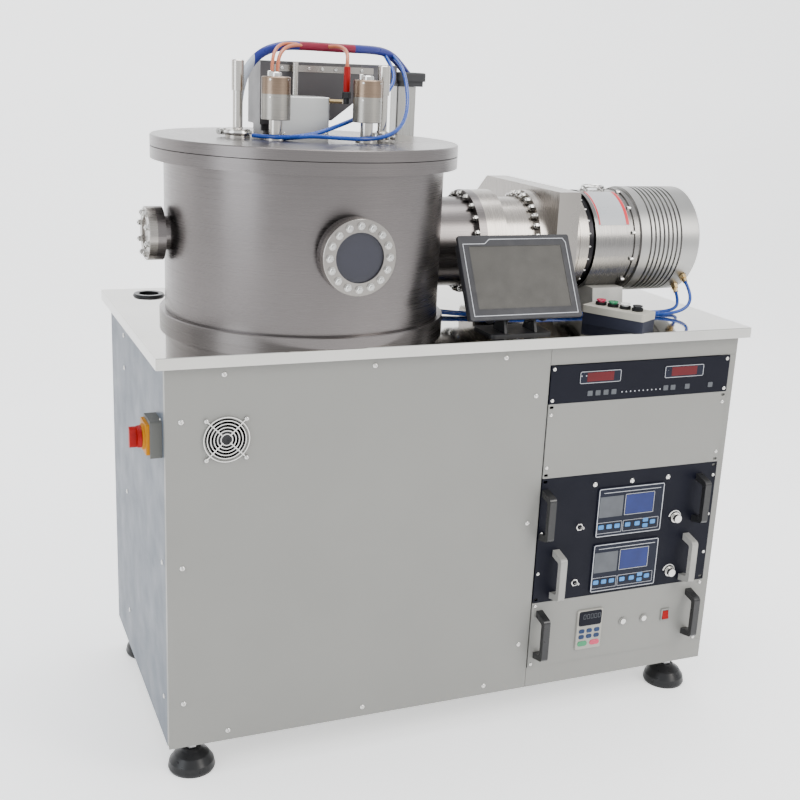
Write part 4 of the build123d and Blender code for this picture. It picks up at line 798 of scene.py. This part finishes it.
hose("power_hose_left", [
    (-0.372, -0.070, 1.476), (-0.371, -0.066, 1.500), (-0.362, -0.050, 1.522), (-0.342, -0.026, 1.537),
    (-0.312, 0.000, 1.543), (-0.285, 0.020, 1.542)],
     0.008, "hose_orange")
hose("power_hose_left_b", [
    (-0.385, -0.075, 1.476), (-0.384, -0.070, 1.502), (-0.374, -0.050, 1.528), (-0.352, -0.022, 1.543),
    (-0.320, 0.000, 1.546), (-0.290, 0.018, 1.543)],
     0.007, "hose_orange")
hose("water_hose_a", [
    (0.661, -0.1265, 1.0280), (0.660, -0.158, 1.004), (0.640, -0.180, 0.974), (0.590, -0.178, 0.9590),
    (0.530, -0.155, 0.9575), (0.440, -0.139, 0.9575), (0.330, -0.140, 0.9575), (0.200, -0.130, 0.9575),
    (0.100, -0.098, 0.9580), (0.018, -0.060, 0.9620)],
     0.008, "hose_blue", "cabinet")
hose("water_hose_b", [
    (0.661, -0.0925, 0.9965), (0.659, -0.110, 0.977), (0.636, -0.134, 0.9620), (0.588, -0.144, 0.9577),
    (0.530, -0.136, 0.9577), (0.440, -0.126, 0.9577), (0.330, -0.126, 0.9577), (0.200, -0.114, 0.9577),
    (0.105, -0.080, 0.9580), (0.018, -0.036, 0.9620)],
     0.008, "hose_blue", "cabinet")

# Sleeve, valve and elbow that carry the gas hose to the hub
GAS = Vector((-0.217, -0.065, 0))
ELBOW_Z = 1.4305
bm = bmesh.new()
lathe(bm, GAS + Vector((0, 0, 1.451)), Z,
      [(0.0062, 0), (0.0070, 0.001), (0.0070, 0.050), (0.0062, 0.052), (0.0045, 0.052)], 24)
add_piece("gas_sleeve", bm, "red", "lid")
bm = bmesh.new()
lathe(bm, GAS + Vector((0, 0, 1.437)), Z,
      [(0.0085, 0), (0.0095, 0.001), (0.0095, 0.013), (0.0085, 0.014)], 12, hex_edge)
lathe(bm, GAS + Vector((0, 0, 1.426)), Z, [(0.0055, 0), (0.0066, 0.001), (0.0066, 0.012)], 24)
add_piece("gas_valve", bm, "black", "lid")
bm = bmesh.new()
elbow_start = GAS + Vector((0, 0, ELBOW_Z))
elbow = Vector((-0.2545, -0.046, ELBOW_Z)) - elbow_start
NUT_FROM, NUT_TO = elbow.length - 0.014, elbow.length - 0.008
lathe(bm, elbow_start + elbow.normalized() * 0.008, elbow,
      [(0.0048, 0), (0.0048, NUT_FROM), (0.0075, NUT_FROM), (0.0075, NUT_TO)], 12, hex_edge)
add_piece("gas_elbow", bm, "brass", "lid")
hose("gas_hose", [
    (-0.232, 0.042, 1.541), (-0.214, 0.024, 1.545), (-0.205, -0.006, 1.541), (-0.207, -0.038, 1.528),
    (-0.2155, -0.060, 1.512), (-0.217, -0.065, 1.494)],
     0.008, "hose_orange", far_end="fitting",
     with_pieces=["gas_sleeve", "gas_valve", "gas_elbow"])

# Floor that bends up into a wall behind, and light
SPAN, NEAR_Y, WALL_Y, WALL_H, BEND = 9.0, -6.0, 4.0, 5.0, 1.4
BEND_STEPS = 12
floor_mesh = bpy.data.meshes.new("floor")
bm = bmesh.new()
profile = [(NEAR_Y, 0.0), (WALL_Y - BEND, 0.0)]
for step in range(1, BEND_STEPS + 1):
    angle = math.radians(90 * step / BEND_STEPS)
    profile.append((WALL_Y - BEND + BEND * math.sin(angle), BEND - BEND * math.cos(angle)))
profile.append((WALL_Y, WALL_H))
rows = [[bm.verts.new((x, y, z)) for x in (-SPAN, SPAN)] for y, z in profile]
for one, two in zip(rows, rows[1:]):
    bm.faces.new((one[0], one[1], two[1], two[0]))
bm.to_mesh(floor_mesh)
bm.free()
for face in floor_mesh.polygons:
    face.use_smooth = True
floor = bpy.data.objects.new("floor", floor_mesh)
bpy.context.scene.collection.objects.link(floor)
floor_material, floor_tree, floor_shader = new_material("floor_pale")
floor_tree.links.new(shades(floor_tree, noise(floor_tree, 1.5), (0.88, 0.88, 0.88), (0.90, 0.90, 0.90)),
                     floor_shader.inputs["Base Color"])
floor_shader.inputs["Roughness"].default_value = 0.7
floor_shader.inputs["Emission Color"].default_value = (1, 1, 1, 1)
floor_shader.inputs["Emission Strength"].default_value = 0.7
floor_mesh.materials.append(floor_material)

world = bpy.data.worlds.new("studio")
bpy.context.scene.world = world
world.use_nodes = True
world.node_tree.nodes["Background"].inputs["Color"].default_value = (0.96, 0.98, 1.0, 1)
world.node_tree.nodes["Background"].inputs["Strength"].default_value = 1.45


def soft_light(name, place, target, size, power, color=(1, 1, 1)):
    data = bpy.data.lights.new(name, "AREA")
    data.shape = "RECTANGLE"
    data.size, data.size_y = size
    data.energy = power
    data.color = color
    light = bpy.data.objects.new(name, data)
    bpy.context.scene.collection.objects.link(light)
    light.location = place
    light.rotation_euler = (Vector(place) - Vector(target)).to_track_quat("Z", "Y").to_euler()


soft_light("key", (2.2, -3.2, 3.2), (0, 0, 0.9), (1.6, 2.4), 120, (1, 0.97, 0.92))
soft_light("fill", (-3.6, -1.4, 2.0), (0, 0, 0.8), (2.0, 2.6), 60, (0.88, 0.94, 1))
soft_light("overhead", (0.2, 0.4, 4.2), (0, 0, 0.9), (2.6, 2.0), 110)
